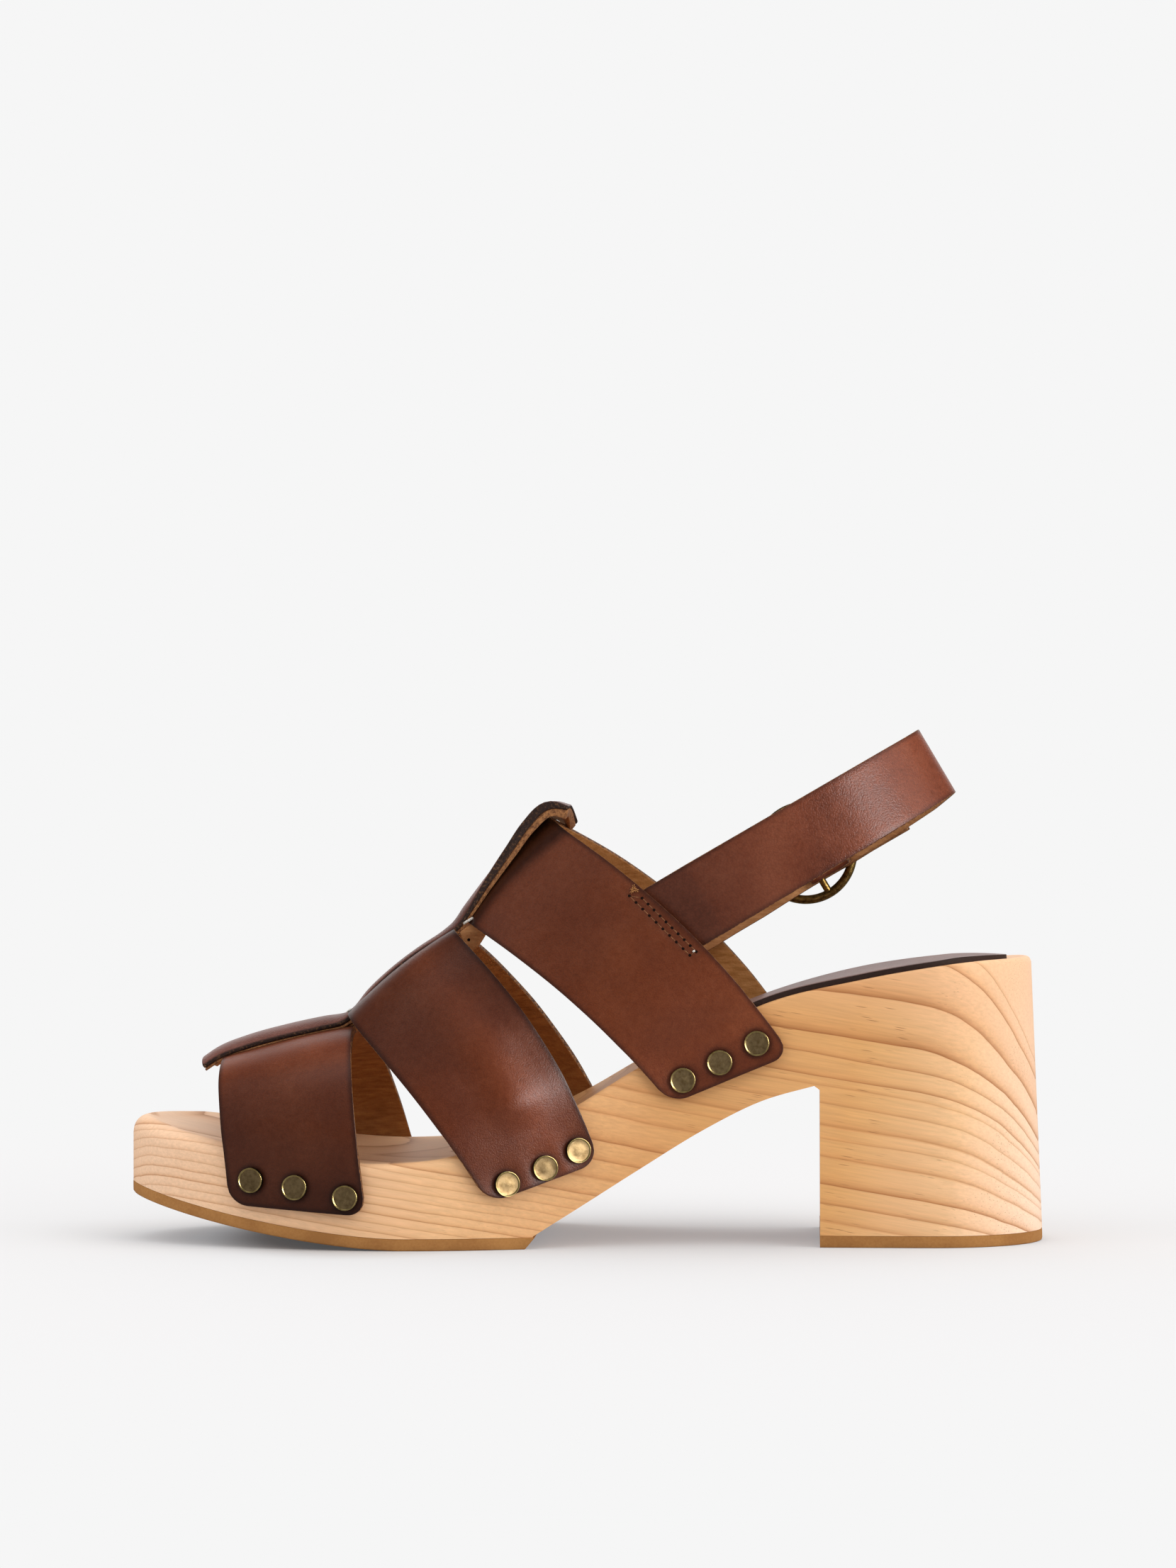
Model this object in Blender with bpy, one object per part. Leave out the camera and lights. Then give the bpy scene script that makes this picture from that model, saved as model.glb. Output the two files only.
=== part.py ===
# Clog sandal, right foot: a carved wooden sole with a block heel, rubber treads, a leather heel
# sock, three leather bands nailed to the sole and tied by a spine strip, and a buckled sling.
# Frame: +X to the toe, +Y to the inner side of the foot, +Z up, floor at z = 0.
# Sizes are in millimetres until a mesh is made.

import math

import bpy
import bmesh
import numpy as np
from mathutils import Vector

MM = 0.001
GAP = 0.3                       # clearance between pieces that touch

# Sole
TOE_X = 120.5                   # tip of the toe, half of the 241 mm length
HEEL_TOP_X = -117.4             # back of the heel at the footbed
HEEL_RAKE = 3.1                 # how far the heel's back leans out down to the floor
HEEL_HEIGHT = 75.4
TOE_TIP_Y = 6.0                 # the tip lies to the inner side
TOE_ROUND_START = 70.0
TOE_ROUND_POWER = 3.0
HEEL_ROUND_START = -84.0
HEEL_ROUND_POWER = 2.2
BREAST_X = -61.6                # front face of the heel
BREAST_SLOPE = 0.3              # half of the tiny lean of that face
FOOTBED_DISH = 1.0
HEEL_LEAN_FADE = 12.0           # length over which the sides take up the back's lean
FLOOR_SHIFT_Y = 0.74            # centres the width over the origin

# Treads
TREAD = 3.1
TOE_SPRING = 12.6
TOE_SPRING_START = 46.0
TOE_SPRING_POWER = 1.6
OUTSOLE_REAR_X = 14.6
OUTSOLE_REAR_SLANT = 2.6

# Heel sock
SOCK = 1.2
SOCK_LIFT = 0.45                # its flat facets clear the dished footbed
SOCK_FRONT_X = -30.0
SOCK_REAR_X = -110.3
SOCK_INSET = 0.9
SOCK_FRONT_CURVE = 6.0          # length of the curve at its front edge
SOCK_FRONT_NARROW = 0.2
SOCK_REAR_CURVE = 22.0          # length of its round at the back of the heel
SOCK_REAR_NARROW = 0.985
SOCK_REAR_POWER = 2.4

# Leather
BAND = 2.0
BAND_CORNER = 5.0
SPINE = 3.2
SPINE_SINK = 0.4                # how deep it beds into the bands
SPINE_WIDTH = 24.0
STRAP = 1.5
SLING_WIDTH = 20.5
SLING_BACK_WIDTH = 19.4
SLING_END_WIDTH = 14.0
SLING_TAPER = (0.5, 0.72, 0.9)  # shares of its length: the back, then where it narrows
# widths of the buckle strap at places along the sling plane: it is narrower inside the ring
BUCKLE_STRAP_WIDTHS = ((20.0, 18.6), (29.0, 15.6), (48.0, 15.6), (54.0, 17.2))

# Studs
STUD_RADIUS = 3.3
STUD_RIM = 0.5
STUD_HEIGHT = 1.6
STUD_BEVEL = 0.3
STUD_DISH = 0.35
STUD_DISH_WALL = 0.2
STUD_SIDES = 14

# Sling plane: it starts at the instep and rises to the back of the ankle
SLING_START = (-22.9, 85.2)     # x and z
SLING_RISE_DEG = 30.6
OUTER_DROP = 3.65               # the outer half of the sling hangs lower
OUTER_BLEND = 29.0              # width over which the sling comes down to that
OUTER_POWER = 1.5

# Buckle, in the sling plane: along the strap, then across the foot
BUCKLE_ALONG = 38.4
BUCKLE_ACROSS = -34.1
RING_RADIUS = 12.8              # to the middle of the wire
RING_WIRE = 1.2
RING_STEPS = 32
BAR_WIRE = 1.0
PRONG_WIRE = 0.9
PRONG_REACH = 2.0               # how far its tip passes the ring
PRONG_SLOT = 3.4
WIRE_SIDES = 8

# A row for each cross section of the sole: half widths, then heights of the footbed's rim
SOLE_COLUMNS = ("x", "inner", "outer", "rim_inner", "rim_outer", "edge")
SOLE_ROWS = (
    (-117.4, 29.0, 29.0, 75.3, 74.6, 1.6),
    (-95.0, 29.2, 29.4, 73.4, 72.7, 0.8),
    (-72.0, 29.0, 30.0, 69.5, 69.2, 0.8),
    (-46.0, 28.6, 31.6, 62.8, 61.5, 0.9),
    (-30.0, 28.8, 33.4, 54.9, 54.6, 1.2),
    (-13.0, 30.4, 36.2, 45.6, 45.4, 1.4),
    (2.0, 33.8, 39.6, 36.4, 36.6, 1.6),
    (18.0, 38.6, 43.0, 28.8, 29.3, 2.0),
    (33.0, 42.4, 45.0, 24.2, 24.7, 2.2),
    (50.0, 44.0, 45.2, 22.4, 23.3, 2.4),
    (68.0, 42.6, 43.0, 23.2, 24.4, 2.8),
    (84.0, 39.6, 39.4, 25.0, 26.7, 3.4),
    (100.0, 36.4, 36.0, 28.2, 30.2, 4.0),
    (120.5, 32.4, 32.6, 32.4, 33.2, 4.4),
)

# The carved waist, from the heel's breast down to the tread
ARCH_COLUMNS = ("x", "z")
ARCH_ROWS = (
    (-61.3, 42.3),
    (-46.0, 37.8),
    (-32.0, 30.8),
    (-14.0, 19.8),
    (1.0, 10.4),
    (12.4, 3.4),
)

# A row for each long edge of a band: its crest, its two lower ends, how full the arch over the
# foot is, and how far it bows back on the inner and the outer side
BAND_COLUMNS = ("crest_x", "crest_y", "crest_z", "inner_x", "inner_z", "outer_x", "outer_z",
                "full", "inner_bow", "outer_bow")
BANDS = {
    "toe": ((95.3, 4.0, 46.4, 90.6, 11.6, 85.0, 12.0, 2.3, 0.5, 0.0),
            (60.8, 7.0, 54.8, 55.0, 9.0, 46.5, 9.6, 2.3, 0.0, 0.0)),
    "mid": ((61.4, 11.0, 58.6, 24.0, 12.2, 21.5, 12.6, 2.2, 2.2, 2.2),
            (33.8, 11.0, 80.6, -4.2, 22.4, -7.0, 22.4, 2.2, 4.6, 2.8)),
    "instep": ((31.0, 4.0, 83.6, -22.8, 37.2, -24.0, 37.2, 2.1, 3.2, 2.2),
               (8.8, 2.0, 109.8, -54.2, 50.2, -56.2, 50.4, 2.1, 4.6, 6.0)),
}

# The three studs in the inner end of each band, front to rear: x and z
STUDS = {
    "toe": ((84.6, 18.0), (73.2, 16.4), (60.2, 13.9)),
    "mid": ((19.6, 17.3), (9.9, 21.2), (1.5, 25.6)),
    "instep": ((-26.0, 43.5), (-35.6, 48.1), (-45.3, 53.1)),
}

# Underside of the spine strip: at its middle, and how far each edge stands from that
SPINE_COLUMNS = ("x", "z", "inner_edge", "outer_edge")
SPINE_ROWS = (
    (100.5, 45.0, -0.6, -0.8),
    (96.8, 47.5, -0.7, -1.0),
    (90.0, 50.2, -0.8, -1.2),
    (80.0, 53.0, -0.8, -1.4),
    (70.0, 55.2, -0.7, -1.6),
    (63.4, 56.4, -0.1, -1.6),
    (59.8, 58.6, 0.6, -3.2),
    (55.6, 63.6, 0.8, -4.6),
    (50.0, 68.8, 0.9, -5.2),
    (43.0, 74.2, 0.8, -5.2),
    (36.5, 78.6, 0.4, -4.0),
    (33.0, 81.8, -0.4, -1.6),
    (30.0, 86.2, -0.8, -1.4),
    (25.0, 93.4, -0.8, -1.4),
    (18.5, 102.2, -0.8, -1.4),
    (13.5, 108.8, -0.8, -1.4),
    (9.2, 112.6, -0.8, -1.2),
    (5.2, 112.4, -0.6, -0.8),
)

# The sling's line round the ankle and the buckle strap's line, both in the sling plane
LINE_COLUMNS = ("along", "across")
SLING_LINE = (
    (10.0, 29.6), (26.0, 30.0), (44.0, 29.0), (58.0, 25.8), (68.6, 19.8), (76.2, 11.4),
    (80.0, 3.4), (80.0, -4.2), (76.2, -12.4), (68.6, -20.4), (61.0, -25.2), (55.0, -27.4),
    (47.9, -29.3), (43.9, -33.3), (41.4, -35.4),
)
BUCKLE_STRAP_LINE = (
    (10.0, -30.4), (20.0, -31.0), (25.4, -31.2), (29.1, -31.8), (33.3, -36.0), (35.4, -37.3),
    (38.4, -37.95), (41.9, -37.2), (43.9, -35.85), (47.9, -31.85), (51.5, -30.2),
    (58.0, -28.6), (65.8, -25.0),
)
# The sling's folded end behind the bar, from the bar's middle
SLING_FOLD = ((2.5, 2.35), (5.0, 3.9), (9.2, 7.2))
LOOP_START_DEG = -62.0
LOOP_END_DEG = -270.0
LOOP_STEPS = 9


def column(rows, names, name):
    place = names.index(name)
    return np.array([row[place] for row in rows], float)


def smooth(xs, vs, x):
    # A cubic through the rows, with slopes taken from the neighbouring rows
    xs = np.asarray(xs, float)
    vs = np.asarray(vs, float)
    slopes = np.gradient(vs, xs)
    x = np.clip(x, xs[0], xs[-1])
    i = np.clip(np.searchsorted(xs, x) - 1, 0, len(xs) - 2)
    step = xs[i + 1] - xs[i]
    t = (x - xs[i]) / step
    start = (2 * t ** 3 - 3 * t ** 2 + 1) * vs[i] + (t ** 3 - 2 * t ** 2 + t) * step * slopes[i]
    end = (3 * t ** 2 - 2 * t ** 3) * vs[i + 1] + (t ** 3 - t ** 2) * step * slopes[i + 1]
    return start + end


def along_points(points, count):
    # Evenly spaced points on a smooth line through a few points
    points = np.asarray(points, float)
    run = np.concatenate([[0.0], np.cumsum(np.linalg.norm(np.diff(points, axis=0), axis=1))])
    places = np.linspace(0.0, run[-1], count)
    return np.column_stack([smooth(run, points[:, k], places) for k in range(points.shape[1])])


def unit(vectors):
    return vectors / np.linalg.norm(vectors, axis=-1, keepdims=True)


def sole_value(name, x):
    return smooth(column(SOLE_ROWS, SOLE_COLUMNS, "x"), column(SOLE_ROWS, SOLE_COLUMNS, name), x)


def end_round(x):
    toe = np.clip((x - TOE_ROUND_START) / (TOE_X - TOE_ROUND_START), 0.0, 1.0)
    heel = np.clip((x - HEEL_ROUND_START) / (HEEL_TOP_X - HEEL_ROUND_START), 0.0, 1.0)
    return np.sqrt((1.0 - toe ** TOE_ROUND_POWER) * (1.0 - heel ** HEEL_ROUND_POWER))


def tip_y(x):
    return TOE_TIP_Y * np.clip(x / TOE_X, 0.0, 1.0)


def side_y(x, side, out=0.0):
    # The sole's edge at x: side is +1 on the inner side and -1 on the outer side
    x = np.asarray(x, float)
    half = sole_value("inner" if side > 0 else "outer", x)
    y = tip_y(x) + (side * half - tip_y(x)) * end_round(x)
    if out:
        step = 0.5
        slope = (side_y(x + step, side) - side_y(x - step, side)) / (2 * step)
        y = y + side * out * np.sqrt(1.0 + slope ** 2)
    return y


def footbed_z(x, share):
    # share runs from 0 at the inner rim to 1 at the outer rim
    rim = sole_value("rim_inner", x) * (1 - share) + sole_value("rim_outer", x) * share
    return rim - FOOTBED_DISH * 4 * share * (1 - share)


def floor_z(x):
    # Lower face of the forefoot tread: flat under the ball, rising to the toe
    lift = np.clip((x - TOE_SPRING_START) / (TOE_X - TOE_SPRING_START), 0.0, 1.0)
    return TOE_SPRING * lift ** TOE_SPRING_POWER


def wood_bottom_z(x):
    arch_x = column(ARCH_ROWS, ARCH_COLUMNS, "x")
    arch = smooth(arch_x, column(ARCH_ROWS, ARCH_COLUMNS, "z"), x)
    forefoot = floor_z(x) + TREAD + GAP
    under = np.where(x > arch_x[-1], forefoot, arch)
    return np.where(x < BREAST_X, TREAD + GAP, under)


def heel_lean(x, normal_x, z):
    # How far the wall round the back of the heel stands out below the footbed
    share = np.clip((HEEL_ROUND_START - x) / HEEL_LEAN_FADE, 0.0, 1.0) * np.clip(-normal_x, 0.0, 1.0)
    return HEEL_RAKE * share * (1.0 - np.clip(z / HEEL_HEIGHT, 0.0, 1.0))


def stations(start, end, extra=()):
    # Places along the sole, close together where the toe and the heel turn
    turn = 1.0 - (1.0 - np.linspace(0.0, 1.0, 13)) ** 2
    toe = TOE_ROUND_START + (TOE_X - TOE_ROUND_START) * turn
    heel = HEEL_ROUND_START + (HEEL_TOP_X - HEEL_ROUND_START) * turn[::-1]
    middle = np.linspace(HEEL_ROUND_START, TOE_ROUND_START, 25)
    places = np.unique(np.round(np.concatenate([heel, middle, toe, np.asarray(extra, float)]), 3))
    inside = places[(places > start + 0.2) & (places < end - 0.2)]
    return np.concatenate([[start], inside, [end]])


def edge_loop(xs, closed_back, closed_toe):
    # Plan points round the sole, and their outward directions; a closed end is one point
    inner = np.column_stack([xs, side_y(xs, 1)])
    outer = np.column_stack([xs, side_y(xs, -1)])[::-1]
    if closed_toe:
        outer = outer[1:]
    if closed_back:
        outer = outer[:-1]
    loop = np.concatenate([inner, outer])
    tangent = np.roll(loop, -1, axis=0) - np.roll(loop, 1, axis=0)
    if not closed_back:
        tangent[0] = loop[1] - loop[0]
        tangent[-1] = loop[-1] - loop[-2]
    if not closed_toe:
        last = len(xs) - 1
        tangent[last] = loop[last] - loop[last - 1]
        tangent[last + 1] = loop[last + 2] - loop[last + 1]
    tangent = unit(tangent)
    return loop, np.column_stack([-tangent[:, 1], tangent[:, 0]])


def ladder(inner_ids, outer_ids, between_ids):
    # Faces across the sole, station by station; between_ids holds the points inside each rung
    rungs = [[a] + list(m) + [b] for a, m, b in zip(inner_ids, between_ids, outer_ids)]
    faces = []
    for near, far in zip(rungs, rungs[1:]):
        for k in range(len(near) - 1):
            face = [near[k], near[k + 1], far[k + 1], far[k]]
            face = [v for n, v in enumerate(face) if v not in face[:n]]
            if len(face) > 2:
                faces.append(face)
    return faces


def finish(name, colour, roughness, metallic=0.0):
    material = bpy.data.materials.new(name)
    material.use_nodes = True
    shader = material.node_tree.nodes["Principled BSDF"]
    shader.inputs["Base Color"].default_value = (*colour, 1.0)
    shader.inputs["Roughness"].default_value = roughness
    shader.inputs["Metallic"].default_value = metallic
    return material


def add_object(name, verts, faces, material, parent):
    mesh = bpy.data.meshes.new(name)
    mesh.from_pydata([tuple(v) for v in np.asarray(verts, float) * MM], [], faces)
    shaping = bmesh.new()
    shaping.from_mesh(mesh)
    bmesh.ops.remove_doubles(shaping, verts=shaping.verts, dist=0.000001)
    bmesh.ops.recalc_face_normals(shaping, faces=shaping.faces)
    shaping.to_mesh(mesh)
    shaping.free()
    mesh.shade_smooth()
    mesh.set_sharp_from_angle(angle=math.radians(35))
    mesh.materials.append(material)
    piece = bpy.data.objects.new(name, mesh)
    piece.parent = parent
    bpy.context.scene.collection.objects.link(piece)
    return piece


def sheet(name, outer, inner, material, parent):
    # A closed wall between two grids of points with the same rows and columns
    rows, cols = outer.shape[:2]
    verts = np.concatenate([outer.reshape(-1, 3), inner.reshape(-1, 3)])
    under = rows * cols
    faces = []
    for r in range(rows - 1):
        for c in range(cols - 1):
            a = r * cols + c
            faces.append((a, a + 1, a + cols + 1, a + cols))
            faces.append((under + a, under + a + cols, under + a + cols + 1, under + a + 1))
    rim = [(0, c) for c in range(cols)] + [(r, cols - 1) for r in range(1, rows)]
    rim += [(rows - 1, c) for c in range(cols - 2, -1, -1)] + [(r, 0) for r in range(rows - 2, 0, -1)]
    ids = [r * cols + c for r, c in rim]
    for a, b in zip(ids, ids[1:] + ids[:1]):
        faces.append((a, b, under + b, under + a))
    return add_object(name, verts, faces, material, parent)


def grid_normals(grid):
    down = np.gradient(grid, axis=0)
    over = np.gradient(grid, axis=1)
    return unit(np.cross(down, over))


def carve_sole(material, parent):
    xs = stations(HEEL_TOP_X, TOE_X, (BREAST_X - BREAST_SLOPE, BREAST_X + BREAST_SLOPE,
                                      ARCH_ROWS[-1][0], 2.0, -20.0, -45.0))
    loop, normals = edge_loop(xs, True, True)
    count = len(xs)
    loop_share = np.where(np.arange(len(loop)) < count, 0.0, 1.0)
    edge = sole_value("edge", loop[:, 0])
    rim = footbed_z(loop[:, 0], loop_share)
    tip_ids = (0, count - 1)
    rim[list(tip_ids)] = footbed_z(loop[list(tip_ids), 0], 0.5) + FOOTBED_DISH
    turn = math.radians(45)
    rings = []
    for inset, z in ((0.0 * edge, wood_bottom_z(loop[:, 0])),
                     (0.0 * edge, rim - edge),
                     (edge * (1 - math.cos(turn)), rim - edge * (1 - math.sin(turn))),
                     (edge, rim)):
        out = heel_lean(loop[:, 0], normals[:, 0], z) - inset
        plan = loop + normals * out[:, None]
        rings.append(np.column_stack([plan, z]))
    verts = [v for ring in rings for v in ring]
    size = len(loop)
    faces = []
    for k in range(len(rings) - 1):
        for i in range(size):
            j = (i + 1) % size
            faces.append((k * size + i, k * size + j, (k + 1) * size + j, (k + 1) * size + i))
    inner_ids = list(range(count))
    outer_ids = [0] + [size - i for i in range(1, count - 1)] + [count - 1]
    faces += ladder(inner_ids, outer_ids, [[] for _ in xs])
    top = (len(rings) - 1) * size
    shares = (0.2, 0.5, 0.8)
    between = []
    for a, b in zip(inner_ids, outer_ids):
        ids = []
        if a != b:
            for share in shares:
                x, y = verts[top + a][:2] * (1 - share) + verts[top + b][:2] * share
                ids.append(len(verts))
                verts.append(np.array([x, y, footbed_z(x, share)]))
        between.append(ids or [top + a] * len(shares))
    faces += ladder([top + i for i in inner_ids], [top + i for i in outer_ids], between)
    return add_object("wooden_sole", verts, faces, material, parent)


def tread_plate(name, xs, closed_back, closed_toe, floor, slant, material, parent):
    # A rubber plate of one thickness under the wood, with the wood's outline
    loop, normals = edge_loop(xs, closed_back, closed_toe)
    size = len(loop)
    lower = floor(loop[:, 0])
    verts = []
    for rise in (0.0, TREAD):
        z = lower + rise
        plan = loop + normals * heel_lean(loop[:, 0], normals[:, 0], z)[:, None]
        if slant and rise:
            # the upper corners of the cut rear end
            plan[[0, -1], 0] -= slant
            plan[[0, -1], 1] = [side_y(plan[0, 0], 1), side_y(plan[-1, 0], -1)]
        verts += list(np.column_stack([plan, z]))
    count = len(xs)
    inner_ids = list(range(count))
    outer_ids = [size - 1 - i for i in range(count)]
    if closed_back:
        outer_ids = [0] + [size - i for i in range(1, count)]
    if closed_toe:
        outer_ids[-1] = count - 1
    faces = []
    for base in (0, size):
        faces += ladder([base + i for i in inner_ids], [base + i for i in outer_ids],
                        [[] for _ in xs])
    for i in range(size):
        j = (i + 1) % size
        faces.append((i, j, size + j, size + i))
    return add_object(name, verts, faces, material, parent)


def heel_sock(material, parent):
    turn = np.linspace(0.0, math.pi / 2, 8)
    front_end = SOCK_FRONT_X - SOCK_FRONT_CURVE
    rear_start = SOCK_REAR_X + SOCK_REAR_CURVE
    xs = np.concatenate([front_end + SOCK_FRONT_CURVE * np.cos(turn),
                         np.linspace(front_end - SOCK_FRONT_CURVE, rear_start, 8),
                         rear_start - SOCK_REAR_CURVE * np.sin(turn[1:])])
    front = np.clip((xs - front_end) / SOCK_FRONT_CURVE, 0.0, 1.0)
    rear = np.clip((rear_start - xs) / SOCK_REAR_CURVE, 0.0, 1.0)
    narrow = np.sqrt(1 - SOCK_FRONT_NARROW * front ** 2)
    narrow *= np.sqrt(1 - SOCK_REAR_NARROW * rear ** SOCK_REAR_POWER)
    shares = np.linspace(0.0, 1.0, 7)
    upper = np.zeros((len(xs), len(shares), 3))
    for r, x in enumerate(xs):
        inner = (side_y(x, 1) - SOCK_INSET) * narrow[r]
        outer = (side_y(x, -1) + SOCK_INSET) * narrow[r]
        y = inner * (1 - shares) + outer * shares
        spot = (side_y(x, 1) - y) / (side_y(x, 1) - side_y(x, -1))
        upper[r] = np.column_stack([np.full(len(shares), x), y, footbed_z(x, spot) + SOCK_LIFT + SOCK])
    lower = upper - np.array([0.0, 0.0, SOCK])
    return sheet("heel_sock", upper, lower, material, parent)


def half_band(values, side, cut, bends, legs):
    # One line of a band's inner face, from the crest down to its lower end beside the sole
    crest = np.array([values["crest_x"], values["crest_z"]])
    end = np.array([values["inner_x"], values["inner_z"]] if side > 0
                   else [values["outer_x"], values["outer_z"]])
    run = end - crest
    back = np.array([run[1], -run[0]]) / np.linalg.norm(run)
    bow = values["inner_bow"] if side > 0 else values["outer_bow"]

    def spot(t):
        t = np.asarray(t, float)[:, None]
        return crest + run * t + back * bow * 4 * t * (1 - t)

    trial = np.linspace(0.0, 1.0, 400)
    places = spot(trial)
    above = places[:, 1] > footbed_z(places[:, 0], 0.0 if side > 0 else 1.0) + 1.0
    wall_t = trial[above].max()
    angle = np.linspace(0.0, math.pi / 2, bends)
    power = 2.0 / values["full"]
    last = 1.0 - cut / np.linalg.norm(run)
    t = np.concatenate([wall_t * (1 - np.cos(angle) ** power),
                        wall_t + (last - wall_t) * np.linspace(0.0, 1.0, legs)[1:]])
    places = spot(t)
    wall = side_y(places[:, 0], side, GAP)
    reach = np.concatenate([np.sin(angle) ** power, np.ones(legs - 1)])
    wall_y = side_y(spot([wall_t])[0, 0], side, GAP)
    y = np.where(t > wall_t, wall, values["crest_y"] + (wall_y - values["crest_y"]) * reach)
    return np.column_stack([places[:, 0], y, places[:, 1]])


def band_values(band, share):
    front, rear = BANDS[band]
    return {name: front[k] * (1 - share) + rear[k] * share for k, name in enumerate(BAND_COLUMNS)}


def band_grids(band, bends=13, legs=5):
    # Inner and outer face of a band; a row from the inner end over the foot to the outer end
    shares = np.array([0.0, 0.055, 0.14, 0.32, 0.5, 0.68, 0.86, 0.945, 1.0])
    front, rear = band_values(band, 0.0), band_values(band, 1.0)
    width = math.hypot(front["inner_x"] - rear["inner_x"], front["inner_z"] - rear["inner_z"])
    lines = []
    for share in shares:
        from_edge = min(share, 1.0 - share) * width
        miss = max(0.0, BAND_CORNER - from_edge)
        cut = BAND_CORNER - math.sqrt(max(0.0, BAND_CORNER ** 2 - miss ** 2))
        values = band_values(band, share)
        inner_half = half_band(values, 1, cut, bends, legs)[::-1]
        outer_half = half_band(values, -1, cut, bends, legs)[1:]
        lines.append(np.concatenate([inner_half, outer_half]))
    inner = np.stack(lines, axis=1)
    normals = grid_normals(inner)
    middle = len(inner) // 2
    if normals[middle, 4, 2] < 0:
        normals = -normals
    return inner + normals * BAND, inner, normals


def spine_grids():
    xs = column(SPINE_ROWS, SPINE_COLUMNS, "x")
    points = np.column_stack([xs] + [column(SPINE_ROWS, SPINE_COLUMNS, n)
                                     for n in ("z", "inner_edge", "outer_edge")])
    line = along_points(points, 44)
    half = SPINE_WIDTH / 2
    across = np.array([1.0, 0.55, 0.0, -0.55, -1.0])
    lower = np.zeros((len(line), len(across), 3))
    for k, a in enumerate(across):
        sag = np.where(a > 0, line[:, 2], line[:, 3]) * a * a
        z = line[:, 1] + sag - SPINE_SINK
        lower[:, k] = np.column_stack([line[:, 0], np.full(len(line), a * half), z])
    normals = grid_normals(lower)
    if normals[5, 2, 2] < 0:
        normals = -normals
    return lower + normals * (SPINE + SPINE_SINK), lower


def join(base, cutters):
    # A Boolean union; the pieces joined in are only guides afterwards
    for other in cutters:
        union = base.modifiers.new("join_" + other.name, "BOOLEAN")
        union.operation = "UNION"
        union.solver = "EXACT"
        union.object = other
        other.hide_render = True
        other.display_type = "WIRE"


def sew_upper(material, parent):
    outer, inner, _ = band_grids("toe")
    upper = sheet("upper", outer, inner, material, parent)
    others = []
    for band in ("mid", "instep"):
        outer, inner, _ = band_grids(band)
        others.append(sheet("upper_" + band, outer, inner, material, parent))
    outer, inner = spine_grids()
    others.append(sheet("upper_spine", outer, inner, material, parent))
    join(upper, [others[2], others[0], others[1]])
    return upper


def sling_frame():
    rise = math.radians(SLING_RISE_DEG)
    along = np.array([-math.cos(rise), 0.0, math.sin(rise)])
    up = np.array([math.sin(rise), 0.0, math.cos(rise)])
    start = np.array([SLING_START[0], 0.0, SLING_START[1]])
    return start, along, up


def sling_point(s, y, lift):
    start, along, up = sling_frame()
    return start + along * s + up * lift + np.array([0.0, y, 0.0])


def lap_rows(side, width):
    # Where a strap lies under the rear margin of the instep band: rows of its outer face
    _, inner, normals = band_grids("instep", bends=25, legs=5)
    start, _, up = sling_frame()
    middle = len(inner) // 2
    half = slice(0, middle + 1) if side > 0 else slice(None, middle - 1, -1)
    drop = 0.0 if side > 0 else OUTER_DROP
    rows = []
    for col in (6, 8):
        face = inner[half, col] - normals[half, col] * GAP
        lifts = (face - start) @ up
        row = []
        for lift in (width / 2 - drop, -drop, -width / 2 - drop):
            row.append([np.interp(lift, lifts, face[:, k]) for k in range(3)])
        rows.append(row)
    return np.array(rows)


def strap_grids(line, lap, widths, side):
    # Outer face of a strap standing on its middle line in the sling plane, and that face's
    # normals; side is where its lap begins
    rows = list(lap)
    for (s, y), width in zip(line, widths):
        share = np.clip(-y / OUTER_BLEND, 0.0, 1.0) ** OUTER_POWER if side > 0 else 1.0
        drop = OUTER_DROP * share
        rows.append([sling_point(s, y, lift) for lift in (width / 2 - drop, -drop, -width / 2 - drop)])
    grid = np.array(rows)
    normals = grid_normals(grid)
    _, _, up = sling_frame()
    away = np.cross(up, np.gradient(grid[:, 1], axis=0))
    flip = np.sign(np.sum(normals[:, 1] * away, axis=1))
    normals = normals * flip[:, None, None] * -side
    grid[len(lap):] += normals[len(lap):] * STRAP / 2
    return grid, normals


def sling_loop():
    # The outer end passes outside the buckle's bar, round its front and back on the inside
    radius = BAR_WIRE + GAP + STRAP / 2
    turn = np.radians(np.linspace(LOOP_START_DEG, LOOP_END_DEG, LOOP_STEPS))
    arc = [(BUCKLE_ALONG + radius * math.cos(a), BUCKLE_ACROSS + radius * math.sin(a)) for a in turn]
    return arc + [(BUCKLE_ALONG + s, BUCKLE_ACROSS + y) for s, y in SLING_FOLD]


def strap_solid(name, grid, normals, material, parent):
    return sheet(name, grid, grid - normals * STRAP, material, parent)


def sew_sling(material, parent):
    line = list(along_points(SLING_LINE, 40))
    widths = list(np.interp(np.linspace(0.0, 1.0, len(line)), (0.0,) + SLING_TAPER,
                            (SLING_WIDTH, SLING_BACK_WIDTH, SLING_BACK_WIDTH, SLING_END_WIDTH)))
    loop = sling_loop()
    widths += [SLING_END_WIDTH] * len(loop)
    grid, normals = strap_grids(line + loop, lap_rows(1, SLING_WIDTH), widths, 1)
    return strap_solid("sling_strap", grid, normals, material, parent)


def sew_buckle_strap(material, parent):
    line = list(along_points(BUCKLE_STRAP_LINE, 34))
    places, widths = zip(*BUCKLE_STRAP_WIDTHS)
    widths = np.interp([s for s, _ in line], places, widths)
    grid, normals = strap_grids(line, lap_rows(-1, widths[0]), widths, -1)
    return strap_solid("buckle_strap", grid, normals, material, parent)


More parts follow.
